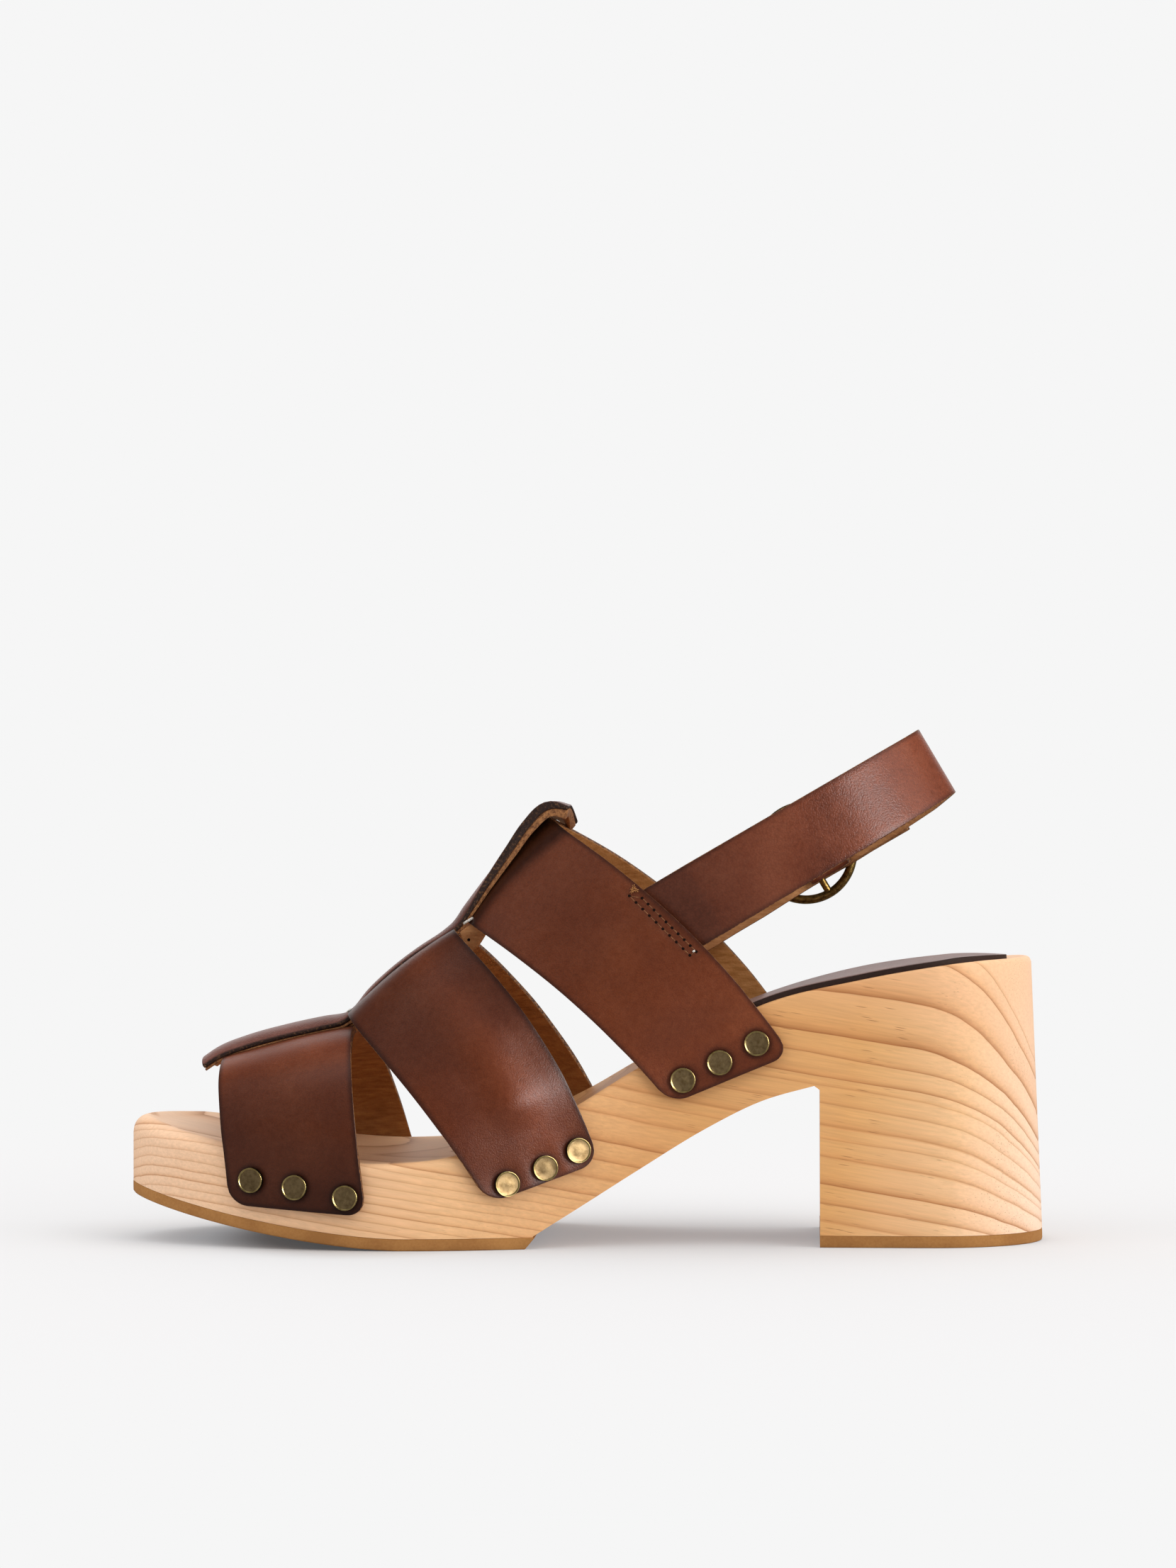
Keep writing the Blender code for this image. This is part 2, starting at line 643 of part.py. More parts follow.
def tube(name, path, facing, radius, closed, material, parent):
    # A round wire along a path of points; facing is any direction that the path never takes
    path = np.asarray(path, float)
    tangents = np.roll(path, -1, axis=0) - np.roll(path, 1, axis=0)
    if not closed:
        tangents = np.gradient(path, axis=0)
    tangents = unit(tangents)
    side = unit(np.cross(tangents, facing))
    other = np.cross(tangents, side)
    verts = []
    for p, a, b in zip(path, side, other):
        for k in range(WIRE_SIDES):
            angle = 2 * math.pi * k / WIRE_SIDES
            verts.append(p + radius * (a * math.cos(angle) + b * math.sin(angle)))
    count = len(path)
    faces = []
    for i in range(count if closed else count - 1):
        j = (i + 1) % count
        for k in range(WIRE_SIDES):
            m = (k + 1) % WIRE_SIDES
            faces.append((i * WIRE_SIDES + k, i * WIRE_SIDES + m, j * WIRE_SIDES + m, j * WIRE_SIDES + k))
    if not closed:
        faces.append(tuple(range(WIRE_SIDES)))
        faces.append(tuple((count - 1) * WIRE_SIDES + k for k in range(WIRE_SIDES)))
    return add_object(name, verts, faces, material, parent)


def forge_buckle(material, parent):
    across = np.array([0.0, 1.0, 0.0])
    ring_path = []
    for k in range(RING_STEPS):
        angle = 2 * math.pi * k / RING_STEPS
        ring_path.append(sling_point(BUCKLE_ALONG + RING_RADIUS * math.cos(angle), BUCKLE_ACROSS,
                                     RING_RADIUS * math.sin(angle) - OUTER_DROP))
    ring = tube("buckle_ring", ring_path, across, RING_WIRE, True, material, parent)
    lifts = np.linspace(-RING_RADIUS, RING_RADIUS, 3) - OUTER_DROP
    bar_path = [sling_point(BUCKLE_ALONG, BUCKLE_ACROSS, lift) for lift in lifts]
    join(ring, [tube("buckle_bar", bar_path, across, BAR_WIRE, False, material, parent)])
    return ring


def forge_prong(material, parent):
    # It lies from the bar, through the slot, over the front of the ring
    seat = BUCKLE_ACROSS - RING_WIRE - GAP - PRONG_WIRE
    tip = BUCKLE_ALONG - RING_RADIUS - PRONG_REACH
    path = [sling_point(s, seat, -OUTER_DROP) for s in np.linspace(BUCKLE_ALONG, tip, 4)]
    _, _, up = sling_frame()
    return tube("buckle_prong", path, up, PRONG_WIRE, False, material, parent)


def cut_prong_slot(straps, material, parent):
    # The hole that the prong comes up through, in the folded sling end and in the buckle strap
    corners = []
    for s in (BUCKLE_ALONG - 7.5, BUCKLE_ALONG + 1.6):
        for y in (BUCKLE_ACROSS - 6.5, BUCKLE_ACROSS + 0.2):
            for lift in (-PRONG_SLOT / 2, PRONG_SLOT / 2):
                corners.append(sling_point(s, y, lift - OUTER_DROP))
    faces = [(0, 1, 3, 2), (4, 6, 7, 5), (0, 4, 5, 1), (2, 3, 7, 6), (0, 2, 6, 4), (1, 5, 7, 3)]
    slot = add_object("prong_slot", corners, faces, material, parent)
    slot.hide_render = True
    slot.display_type = "WIRE"
    for strap in straps:
        cut = strap.modifiers.new("prong_slot", "BOOLEAN")
        cut.operation = "DIFFERENCE"
        cut.solver = "EXACT"
        cut.object = slot


def stud_spot(band, x, z, side):
    # The stud's place on the sole's wall; the outer studs follow that side's end of the band
    if side < 0:
        front, rear = band_values(band, 0.0), band_values(band, 1.0)
        values = band_values(band, (front["inner_x"] - x) / (front["inner_x"] - rear["inner_x"]))
        x = x + values["outer_x"] - values["inner_x"]
        z = z + values["outer_z"] - values["inner_z"]
    return np.array([x, side_y(x, side, GAP), z])


def drive_studs(material, parent):
    # Flat caps with a raised rim, three in each end of each band
    face = STUD_RADIUS - STUD_RIM
    profile = ((STUD_RADIUS, 0.0), (STUD_RADIUS, STUD_HEIGHT - STUD_BEVEL),
               (STUD_RADIUS - STUD_BEVEL, STUD_HEIGHT), (face, STUD_HEIGHT),
               (face - STUD_DISH_WALL, STUD_HEIGHT - STUD_DISH))
    last = (len(profile) - 1) * STUD_SIDES
    step = 1.0
    for band, spots in STUDS.items():
        for side, label in ((1, "inner"), (-1, "outer")):
            for number, (x, z) in enumerate(spots, start=1):
                spot = stud_spot(band, x, z, side)
                slope = (side_y(spot[0] + step, side) - side_y(spot[0] - step, side)) / (2 * step)
                out = unit(np.array([-slope, 1.0, 0.0])) * side
                level = unit(np.cross(out, np.array([0.0, 0.0, 1.0])))
                upward = np.cross(level, out)
                base = spot + out * (BAND + GAP)
                verts = []
                for radius, height in profile:
                    for k in range(STUD_SIDES):
                        angle = 2 * math.pi * k / STUD_SIDES
                        verts.append(base + out * height
                                     + radius * (level * math.cos(angle) + upward * math.sin(angle)))
                faces = [tuple(range(STUD_SIDES)), tuple(range(last, last + STUD_SIDES))]
                for r in range(len(profile) - 1):
                    for k in range(STUD_SIDES):
                        m = (k + 1) % STUD_SIDES
                        faces.append((r * STUD_SIDES + k, r * STUD_SIDES + m,
                                      (r + 1) * STUD_SIDES + m, (r + 1) * STUD_SIDES + k))
                add_object(f"stud_{band}_{label}_{number}", verts, faces, material, parent)


def build():
    for old in list(bpy.data.objects):
        bpy.data.objects.remove(old)
    sandal = bpy.data.objects.new("clog_sandal", None)
    sandal.location = Vector((0.0, FLOOR_SHIFT_Y, 0.0)) * MM
    bpy.context.scene.collection.objects.link(sandal)

    wood = finish("pine_wood", (0.72, 0.46, 0.25), 0.5)
    rubber = finish("tan_rubber", (0.44, 0.25, 0.11), 0.75)
    leather = finish("brown_leather", (0.10, 0.034, 0.018), 0.5)
    sock_leather = finish("dark_sock_leather", (0.05, 0.025, 0.02), 0.55)
    brass = finish("antique_brass", (0.33, 0.24, 0.11), 0.35, 1.0)

    carve_sole(wood, sandal)
    tread_plate("forefoot_outsole", stations(OUTSOLE_REAR_X, TOE_X, (TOE_SPRING_START, 54.0, 62.0)),
                False, True, floor_z, OUTSOLE_REAR_SLANT, rubber, sandal)
    tread_plate("heel_top_piece", stations(HEEL_TOP_X, BREAST_X), True, False,
                lambda x: 0.0 * x, 0.0, rubber, sandal)
    heel_sock(sock_leather, sandal)
    sew_upper(leather, sandal)
    sling = sew_sling(leather, sandal)
    buckle_strap = sew_buckle_strap(leather, sandal)
    cut_prong_slot((sling, buckle_strap), leather, sandal)
    forge_buckle(brass, sandal)
    forge_prong(brass, sandal)
    drive_studs(brass, sandal)


build()
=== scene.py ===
# Clog sandal, right foot: looks of the carved sole, the nailed bands, the sling and its buckle.
# Shapes are worked out in millimetres from the shoe's own middle line, +X to the toe, +Z up.
import math
import bpy
import numpy as np
from mathutils import Matrix, Vector


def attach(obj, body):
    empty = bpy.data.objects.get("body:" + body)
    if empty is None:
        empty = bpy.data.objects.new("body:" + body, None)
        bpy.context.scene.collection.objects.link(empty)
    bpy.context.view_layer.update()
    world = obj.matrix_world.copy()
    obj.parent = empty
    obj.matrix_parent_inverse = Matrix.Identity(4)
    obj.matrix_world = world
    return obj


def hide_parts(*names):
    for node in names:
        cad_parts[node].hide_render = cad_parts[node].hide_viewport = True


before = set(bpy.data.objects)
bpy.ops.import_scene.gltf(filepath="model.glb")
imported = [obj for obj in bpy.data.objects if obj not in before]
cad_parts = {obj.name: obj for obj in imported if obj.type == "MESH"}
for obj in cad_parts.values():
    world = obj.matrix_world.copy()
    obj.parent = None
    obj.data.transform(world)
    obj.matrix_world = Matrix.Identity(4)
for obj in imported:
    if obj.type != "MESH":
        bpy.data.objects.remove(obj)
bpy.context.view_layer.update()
bpy.ops.object.select_all(action="DESELECT")
mm = 0.001  # metres
offMiddle = np.array([0.0, 0.74, 0.0])  # the frame centres the width, so the shoe's middle line stands this far off
gap = 0.3  # leather to wood, and strap to band
print("frame loaded,", len(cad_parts), "nodes")

def hexColour(code):
    parts = [int(code[k:k + 2], 16) / 255 for k in (1, 3, 5)]
    return tuple(c / 12.92 if c <= 0.04045 else ((c + 0.055) / 1.055) ** 2.4 for c in parts) + (1.0,)

def addNode(tree, kind, settings=None, inputs=None):
    # settings are the node's own values, inputs are numbers, colours or other nodes' outputs
    made = tree.nodes.new("ShaderNode" + kind)
    for name, value in (settings or {}).items():
        if name == "stops":
            ramp = made.color_ramp
            while len(ramp.elements) < len(value):
                ramp.elements.new(0.5)
            for element, (position, colour) in zip(ramp.elements, value):
                element.position = position
                element.color = (colour,) * 3 + (1.0,) if isinstance(colour, float) else hexColour(colour)
        else:
            setattr(made, name, value)
    for name, value in (inputs or {}).items():
        if isinstance(value, bpy.types.NodeSocket):
            tree.links.new(value, made.inputs[name])
        else:
            made.inputs[name].default_value = value
    return made

def newMaterial(name, roughness, specular=0.5, metallic=0.0):
    mat = bpy.data.materials.new(name)
    mat.use_nodes = True
    shader = mat.node_tree.nodes["Principled BSDF"]
    shader.inputs["Roughness"].default_value = roughness
    shader.inputs["Specular IOR Level"].default_value = specular
    shader.inputs["Metallic"].default_value = metallic
    return mat, mat.node_tree, shader

def sums(tree, operation, *values, clamp=False):
    # a number worked out from others
    return addNode(tree, "Math", {"operation": operation, "use_clamp": clamp}, dict(enumerate(values))).outputs[0]

def vectors(tree, operation, *values):
    # a vector worked out from others, or the number that comes of them
    names = (0, "Scale") if operation == "SCALE" else (0, 1)
    node = addNode(tree, "VectorMath", {"operation": operation}, dict(zip(names, values)))
    return node.outputs["Value" if operation in ("DOT_PRODUCT", "LENGTH") else "Vector"]

def ranged(tree, value, start, end, low=0.0, high=1.0, soft=False):
    # a value that runs from start to end, made to run from low to high
    return addNode(tree, "MapRange", {"interpolation_type": "SMOOTHSTEP" if soft else "LINEAR"},
                   {"Value": value, "From Min": start, "From Max": end, "To Min": low, "To Max": high}).outputs[0]

def noise(tree, place, scale, detail, roughness=0.5, output=0):
    return addNode(tree, "TexNoise", None, {"Vector": place, "Scale": scale, "Detail": detail,
                                            "Roughness": roughness}).outputs[output]

def ramped(tree, value, stops):
    return addNode(tree, "ValToRGB", {"stops": stops}, {0: value}).outputs[0]

def tinted(tree, share, colour, code):
    # a colour with a share of another one over it
    return addNode(tree, "Mix", {"data_type": "RGBA"}, {0: share, 6: colour, 7: hexColour(code)}).outputs[2]

def paint(tree, shader, colour, height, strength, depth, invert=False):
    # a finish's colour and its relief, which is as deep as depth says in millimetres
    relief = addNode(tree, "Bump", {"invert": invert}, {"Strength": strength, "Distance": depth * mm, "Height": height})
    tree.links.new(colour, shader.inputs["Base Color"])
    tree.links.new(relief.outputs[0], shader.inputs["Normal"])

def inMillimetres(tree):
    return vectors(tree, "SCALE", addNode(tree, "TexCoord").outputs["Object"], 1 / mm)

# Geometry helpers

def curveAt(rows, column, x):
    # smooth curve through one column of a table whose first column is x
    xs = np.array([row[0] for row in rows], float)
    vs = np.array([row[column] for row in rows], float)
    slopes = np.gradient(vs, xs)
    x = np.clip(x, xs[0], xs[-1])
    i = np.clip(np.searchsorted(xs, x) - 1, 0, len(xs) - 2)
    step = xs[i + 1] - xs[i]
    t = (x - xs[i]) / step
    start = (2 * t ** 3 - 3 * t ** 2 + 1) * vs[i] + (t ** 3 - 2 * t ** 2 + t) * step * slopes[i]
    end = (3 * t ** 2 - 2 * t ** 3) * vs[i + 1] + (t ** 3 - t ** 2) * step * slopes[i + 1]
    return start + end

def unit(vectors):
    return vectors / np.maximum(np.linalg.norm(vectors, axis=-1, keepdims=True), 1e-9)

def runAlong(points):
    # length of a line up to each of its points
    return np.concatenate([[0.0], np.cumsum(np.linalg.norm(np.diff(points, axis=0), axis=1))])

def linePoints(points, count):
    # evenly spaced points on a smooth line through a few points
    points = np.asarray(points, float)
    run = runAlong(points)
    rows = np.column_stack([run, points])
    places = np.linspace(0.0, run[-1], count)
    return np.column_stack([curveAt(rows, k + 1, places) for k in range(points.shape[1])])

def faceNormals(grid):
    return unit(np.cross(np.gradient(grid, axis=0), np.gradient(grid, axis=1)))

def meshPoints(piece):
    flat = np.empty(len(piece.data.vertices) * 3)
    piece.data.vertices.foreach_get("co", flat)
    return flat.reshape(-1, 3)

def gridPiece(name, points, materials, marks=None):
    # a flat grid is added, and each of its points is moved to its place; marks are values kept
    # on the points for the finishes to read
    rows, cols = points.shape[:2]
    bpy.ops.object.select_all(action="DESELECT")
    bpy.ops.mesh.primitive_grid_add(x_subdivisions=cols - 1, y_subdivisions=rows - 1, size=1)
    piece = bpy.context.active_object
    piece.name = piece.data.name = name
    flat = meshPoints(piece)
    col = np.rint((flat[:, 0] + 0.5) * (cols - 1)).astype(int)
    row = np.rint((flat[:, 1] + 0.5) * (rows - 1)).astype(int)
    piece.data.vertices.foreach_set("co", ((points[row, col] + offMiddle) * mm).ravel())
    for mark, values in (marks or {}).items():
        layer = piece.data.attributes.new(mark, "FLOAT", "POINT")
        layer.data.foreach_set("value", values[row, col].astype(np.float32))
    for mat in materials:
        piece.data.materials.append(mat)
    piece.data.update()
    return piece

def editAll(piece):
    bpy.context.view_layer.objects.active = piece
    bpy.ops.object.mode_set(mode="EDIT")
    bpy.ops.mesh.select_all(action="SELECT")

def closeSeams(piece, recalculate=True):
    editAll(piece)
    bpy.ops.mesh.remove_doubles(threshold=0.000002)
    if recalculate:
        bpy.ops.mesh.normals_make_consistent(inside=False)
    bpy.ops.object.mode_set(mode="OBJECT")

def turnOutward(piece, outward, polygon=None):
    # a sheet is turned over if one of its faces, the middle one where none is given, looks the wrong way
    polygon = polygon or piece.data.polygons[len(piece.data.polygons) // 2]
    if polygon.normal.dot(Vector(outward)) < 0:
        editAll(piece)
        bpy.ops.mesh.flip_normals()
        bpy.ops.object.mode_set(mode="OBJECT")

def pickOnly(piece):
    bpy.ops.object.select_all(action="DESELECT")
    piece.select_set(True)
    bpy.context.view_layer.objects.active = piece

def useModifier(piece, kind, **settings):
    pickOnly(piece)
    modifier = piece.modifiers.new(kind.lower(), kind)
    for name, value in settings.items():
        setattr(modifier, name, value)
    bpy.ops.object.modifier_apply(modifier=modifier.name)

def roundEdges(piece, width, segments=3, angleDeg=50.0):
    useModifier(piece, "BEVEL", width=width * mm, segments=segments, limit_method="ANGLE",
                angle_limit=math.radians(angleDeg))

def thicken(piece, thick, materials=(1, 2), weights=None, **settings):
    # a sheet gets its thickness: materials are those of its other face and its edges, and weights are
    # shares of the thickness at its points
    if weights is not None:
        group = piece.vertex_groups.new(name="thickness")
        for index, weight in enumerate(weights):
            group.add([index], float(weight), "REPLACE")
        settings["vertex_group"] = group.name
    settings = {"offset": 1.0, **settings}
    useModifier(piece, "SOLIDIFY", thickness=thick * mm, material_offset=materials[0], material_offset_rim=materials[1],
                **settings)

def finishPiece(piece, nodes=(), smoothDeg=40.0):
    pickOnly(piece)
    bpy.ops.object.shade_smooth_by_angle(angle=math.radians(smoothDeg))
    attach(piece, "root")
    if nodes:
        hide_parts(*nodes)
    return piece

# Camera: level, at the height of the sling, a little behind the shoe's middle
photo = {"width": 1659, "height": 2212, "pixelsPerMm": 5.303, "x": -60.0, "away": 1300.0, "z": 120.3}
cameraData = bpy.data.cameras.new("photoCamera")
camera = bpy.data.objects.new("photoCamera", cameraData)
bpy.context.scene.collection.objects.link(camera)
bpy.context.scene.camera = camera
camera.location = Vector((photo["x"], photo["away"], photo["z"])) * mm
camera.rotation_euler = Vector((-photo["x"], -photo["away"], 0.0)).to_track_quat("-Z", "Y").to_euler()
focalPixels = photo["pixelsPerMm"] * math.hypot(photo["x"], photo["away"])
cameraData.sensor_width = 36.0
cameraData.lens = focalPixels / photo["height"] * cameraData.sensor_width
cameraData.clip_start = 0.01
cameraData.clip_end = 100.0

# Studio: soft light from all round, stronger from above and from both ends of the shoe. Each lamp is a
# soft round patch: where it stands, its power, and the cosines where it fades in and is full. Gloss sees
# smaller lamps than the matt colour does, so that highlights stay where the hide turns
studio = {
    "paper": "#f6f6f6", "base": 0.07, "glossBase": 0.05,
    "soft": (((0.0, 0.2, 1.0), 1.5, 0.45, 0.97), ((1.0, 0.35, 0.3), 1.3, 0.62, 0.95),
             ((-1.0, 0.4, 0.3), 2.3, 0.62, 0.95), ((0.0, -1.0, 0.15), 0.85, 0.1, 0.6)),
    "gloss": (((0.15, 0.0, 0.99), 0.6, 0.92, 0.985), ((1.0, 0.2, 0.2), 0.3, 0.88, 0.97),
              ((-0.74, 0.65, 0.2), 12.0, 0.945, 0.985), ((-1.0, 0.3, 0.3), 1.5, 0.8, 0.95),
              ((0.0, -1.0, 0.12), 0.95, 0.82, 0.95)),
}
world = bpy.data.worlds.new("softStudio")
bpy.context.scene.world = world
world.use_nodes = True
tree = world.node_tree
tree.nodes.clear()
skyward = addNode(tree, "TexCoord").outputs["Generated"]
glows = []
for light, lamps in ((studio["base"], studio["soft"]), (studio["glossBase"], studio["gloss"])):
    for direction, power, start, end in lamps:
        aim = tuple(Vector(direction).normalized())
        facing = vectors(tree, "DOT_PRODUCT", skyward, aim)
        light = sums(tree, "ADD", light, ranged(tree, facing, start, end, 0.0, power, soft=True))
    glows.append(addNode(tree, "Background", None, {"Color": (1.0, 1.0, 1.0, 1.0), "Strength": light}).outputs[0])
ray = addNode(tree, "LightPath")
glow = addNode(tree, "MixShader", None, {0: ray.outputs["Is Glossy Ray"], 1: glows[0], 2: glows[1]})
paper = addNode(tree, "Background", None, {"Color": hexColour(studio["paper"]), "Strength": 1.0})
both = addNode(tree, "MixShader", None, {0: ray.outputs["Is Camera Ray"], 1: glow.outputs[0], 2: paper.outputs[0]})
addNode(tree, "OutputWorld", None, {"Surface": both.outputs[0]})

bpy.ops.object.select_all(action="DESELECT")
bpy.ops.mesh.primitive_plane_add(size=60.0)
floor = bpy.context.active_object
floor.name = "paperFloor"
# pale paper sweep: matt, with a faint painted glow that keeps its shadows soft; away from the shoe it
# fades into the backdrop
mat, tree, shader = newMaterial("paperSweep", 1.0, 0.0)
shader.inputs["Base Color"].default_value = (0.48, 0.455, 0.44, 1.0)
shader.inputs["Emission Color"].default_value = (0.2, 0.23, 0.255, 1.0)  # keeps the shadows grey beside warm wood
onFloor = addNode(tree, "TexCoord").outputs["Object"]
# painted shadow under the forefoot, where the sole lies on the paper: there the paper's glow is turned down
toeShadow = addNode(tree, "Mapping", {"vector_type": "TEXTURE"},
                   {"Vector": onFloor, "Location": (0.06, 0.0, 0.0), "Scale": (0.034, 0.056, 1.0)}).outputs[0]
toeShadow = ranged(tree, vectors(tree, "LENGTH", toeShadow), 0.7, 1.3, 0.25, 1.0, soft=True)
tree.links.new(toeShadow, shader.inputs["Emission Strength"])
away = ranged(tree, vectors(tree, "LENGTH", onFloor), 0.2, 0.5, soft=True)
backdrop = addNode(tree, "Emission", None, {"Color": hexColour(studio["paper"]), "Strength": 1.0})
both = addNode(tree, "MixShader", None, {0: away, 1: shader.outputs[0], 2: backdrop.outputs[0]})
# the gloss sees a dark card there, so the paper shows little in leather and brass
card = addNode(tree, "Emission", None, {"Color": (0.2, 0.2, 0.2, 1.0), "Strength": 1.0})
seenByGloss = addNode(tree, "LightPath").outputs["Is Glossy Ray"]
both = addNode(tree, "MixShader", None, {0: seenByGloss, 1: both.outputs[0], 2: card.outputs[0]})
tree.links.new(both.outputs[0], tree.nodes["Material Output"].inputs["Surface"])
floor.data.materials.append(mat)
bpy.context.scene.view_settings.view_transform = "Standard"
print("camera and studio set")

# Finishes

def sandedPine():
    # softwood block, sanded and oiled: yearly rings run the length of the shoe and show as stripes on
    # the sides and arcs on the rounded ends, with fine fibres and short resin canals
    look = {"late": "#96582e", "tint": "#cb8a50", "heart": "#e8b48c", "canal": "#7a4a28",
            "length": ((0.0, "#fad9be"), (0.1, "#ebbf8e"), (0.22, "#d9a263"), (0.42, "#d39a5a"), (0.62, "#e9ba88"),
                       (0.94, "#eec8a6")),
            "start": (-117.0, 3.6, 0.0), "rise": 0.17, "waver": 3.0, "half": 29.0, "sag": 0.6, "lift": 14.0,
            "top": 100.0, "reach": 96.0, "outerRing": 2.4, "blockLength": 245.0,
            # depth of each ring's dark line, and how dark it is
            "lines": ((3.0, 0.6), (10.5, 0.9), (24.5, 0.95), (36.0, 1.0), (42.0, 0.7), (48.0, 0.8), (50.8, 0.75),
                      (56.0, 0.55), (61.8, 0.9), (65.0, 0.6), (70.0, 0.9), (77.3, 1.0), (82.6, 0.85),
                      (87.3, 0.8), (91.5, 0.7))}
    mat, tree, shader = newMaterial("sandedPine", 0.5, 0.28)
    place = addNode(tree, "TexCoord").outputs["Object"]
    inWood = addNode(tree, "Mapping", {"vector_type": "TEXTURE"},
                     {"Vector": place, "Location": tuple(v * mm for v in look["start"]),
                      "Rotation": (0.0, -math.atan(look["rise"]), 0.0), "Scale": (mm,) * 3}).outputs[0]
    slow = vectors(tree, "MULTIPLY", inWood, (0.012, 0.05, 0.05))
    bend = noise(tree, slow, 1.0, 4.0, output="Color")
    bend = vectors(tree, "SCALE", vectors(tree, "SUBTRACT", bend, (0.5, 0.5, 0.5)), look["waver"])
    bent = vectors(tree, "ADD", inWood, bend)
    # the rings lie flat along both sides and sag towards the middle of the block, so that they bend
    # down round the heel and the toe; depth counts them from the top
    parts = addNode(tree, "SeparateXYZ", None, {0: bent}).outputs
    side = sums(tree, "DIVIDE", sums(tree, "ABSOLUTE", parts[1]), look["half"])
    side = sums(tree, "POWER", sums(tree, "SMOOTH_MIN", side, 1.0, 0.3), 1.5)
    height = sums(tree, "ADD", parts[2], look["lift"])
    sag = sums(tree, "MULTIPLY", sums(tree, "MAXIMUM", height, 10.0), look["sag"])
    outward = sums(tree, "MULTIPLY_ADD", side, look["sag"], 1.0)
    inward = sums(tree, "DIVIDE", sums(tree, "SUBTRACT", 1.0, side), outward)
    height = sums(tree, "MULTIPLY_ADD", sag, inward, height)
    depth = sums(tree, "SUBTRACT", look["top"], height)
    # pale early wood darkens to late wood at the end of each year's ring, which ends sharply
    stops, lasts, before = [(0.0, 0.0)], [], 0.0
    for line, strength in look["lines"]:
        stops += [(line / look["reach"], 1.0), ((line + 0.35) / look["reach"], 0.0)]
        lasts.append((before, strength))
        before = (line + 0.4) / look["reach"]
    ringPlace = sums(tree, "DIVIDE", depth, look["reach"])
    year = ramped(tree, ringPlace, stops)
    ringDark = addNode(tree, "ValToRGB", {"stops": lasts}, {0: ringPlace})
    ringDark.color_ramp.interpolation = "CONSTANT"
    # further out, under the forefoot, the rings are narrow and even
    count = sums(tree, "DIVIDE", depth, look["outerRing"])
    outer = ramped(tree, sums(tree, "FRACT", count), ((0.0, 0.0), (0.86, 1.0), (1.0, 0.0)))
    whole = sums(tree, "FLOOR", count)
    lean = addNode(tree, "TexWhiteNoise", {"noise_dimensions": "1D"}, {"W": whole}).outputs["Value"]
    lean = ranged(tree, lean, 0.0, 1.0, 0.3, 0.8)
    far = ranged(tree, depth, 91.9, 92.4)
    year = addNode(tree, "Mix", None, {0: far, 2: year, 3: outer}).outputs[0]
    strength = addNode(tree, "Mix", None, {0: far, 2: ringDark.outputs[0], 3: lean}).outputs[0]
    tint, late = (sums(tree, "MULTIPLY", sums(tree, "MULTIPLY", sums(tree, "POWER", year, power), strength), most)
                  for power, most in ((3.0, 0.75), (14.0, 0.85)))
    tone = noise(tree, inWood, 0.03, 1.0)
    heart = ranged(tree, depth, 16.0, 36.0, 0.5, 0.1)
    heart = sums(tree, "MULTIPLY_ADD", tone, 0.5, heart)
    heart = sums(tree, "SUBTRACT", heart, 0.2, clamp=True)
    # the block is warmer in its middle and paler towards both ends; the pale ends are partly painted light where the
    # heel and the toe face the lamps
    along = sums(tree, "DIVIDE", addNode(tree, "SeparateXYZ", None, {0: inWood}).outputs[0], look["blockLength"])
    pale = ramped(tree, along, look["length"])
    colour = tinted(tree, heart, pale, look["heart"])
    colour = tinted(tree, tint, colour, look["tint"])
    colour = tinted(tree, late, colour, look["late"])
    thin = vectors(tree, "MULTIPLY", inWood, (0.06, 1.6, 1.6))
    fibre = noise(tree, thin, 1.0, 5.0, 0.65)
    shade = ranged(tree, fibre, 0.3, 0.7, 0.88, 1.06)
    colour = vectors(tree, "SCALE", colour, shade)
    # resin canals: dashes about 3 mm long and a sixth of a millimetre wide, in clusters on the heel
    dashes = vectors(tree, "MULTIPLY", inWood, (0.1, 1.8, 1.8))
    canal = addNode(tree, "TexVoronoi", None, {"Vector": dashes, "Scale": 1.0}).outputs["Distance"]
    canal = ranged(tree, canal, 0.1, 0.2, 1.0, 0.0)
    cluster = noise(tree, inWood, 0.07, 1.0)
    cluster = ranged(tree, cluster, 0.42, 0.6, 0.0, 0.65)
    heelOnly = ranged(tree, along, 0.3, 0.45, 1.0, 0.25)
    cluster = sums(tree, "MULTIPLY", cluster, heelOnly)
    canal = sums(tree, "MULTIPLY", canal, cluster)
    colour = tinted(tree, canal, colour, look["canal"])
    paint(tree, shader, colour, sums(tree, "SUBTRACT", fibre, canal), 0.15, 0.2)
    return mat

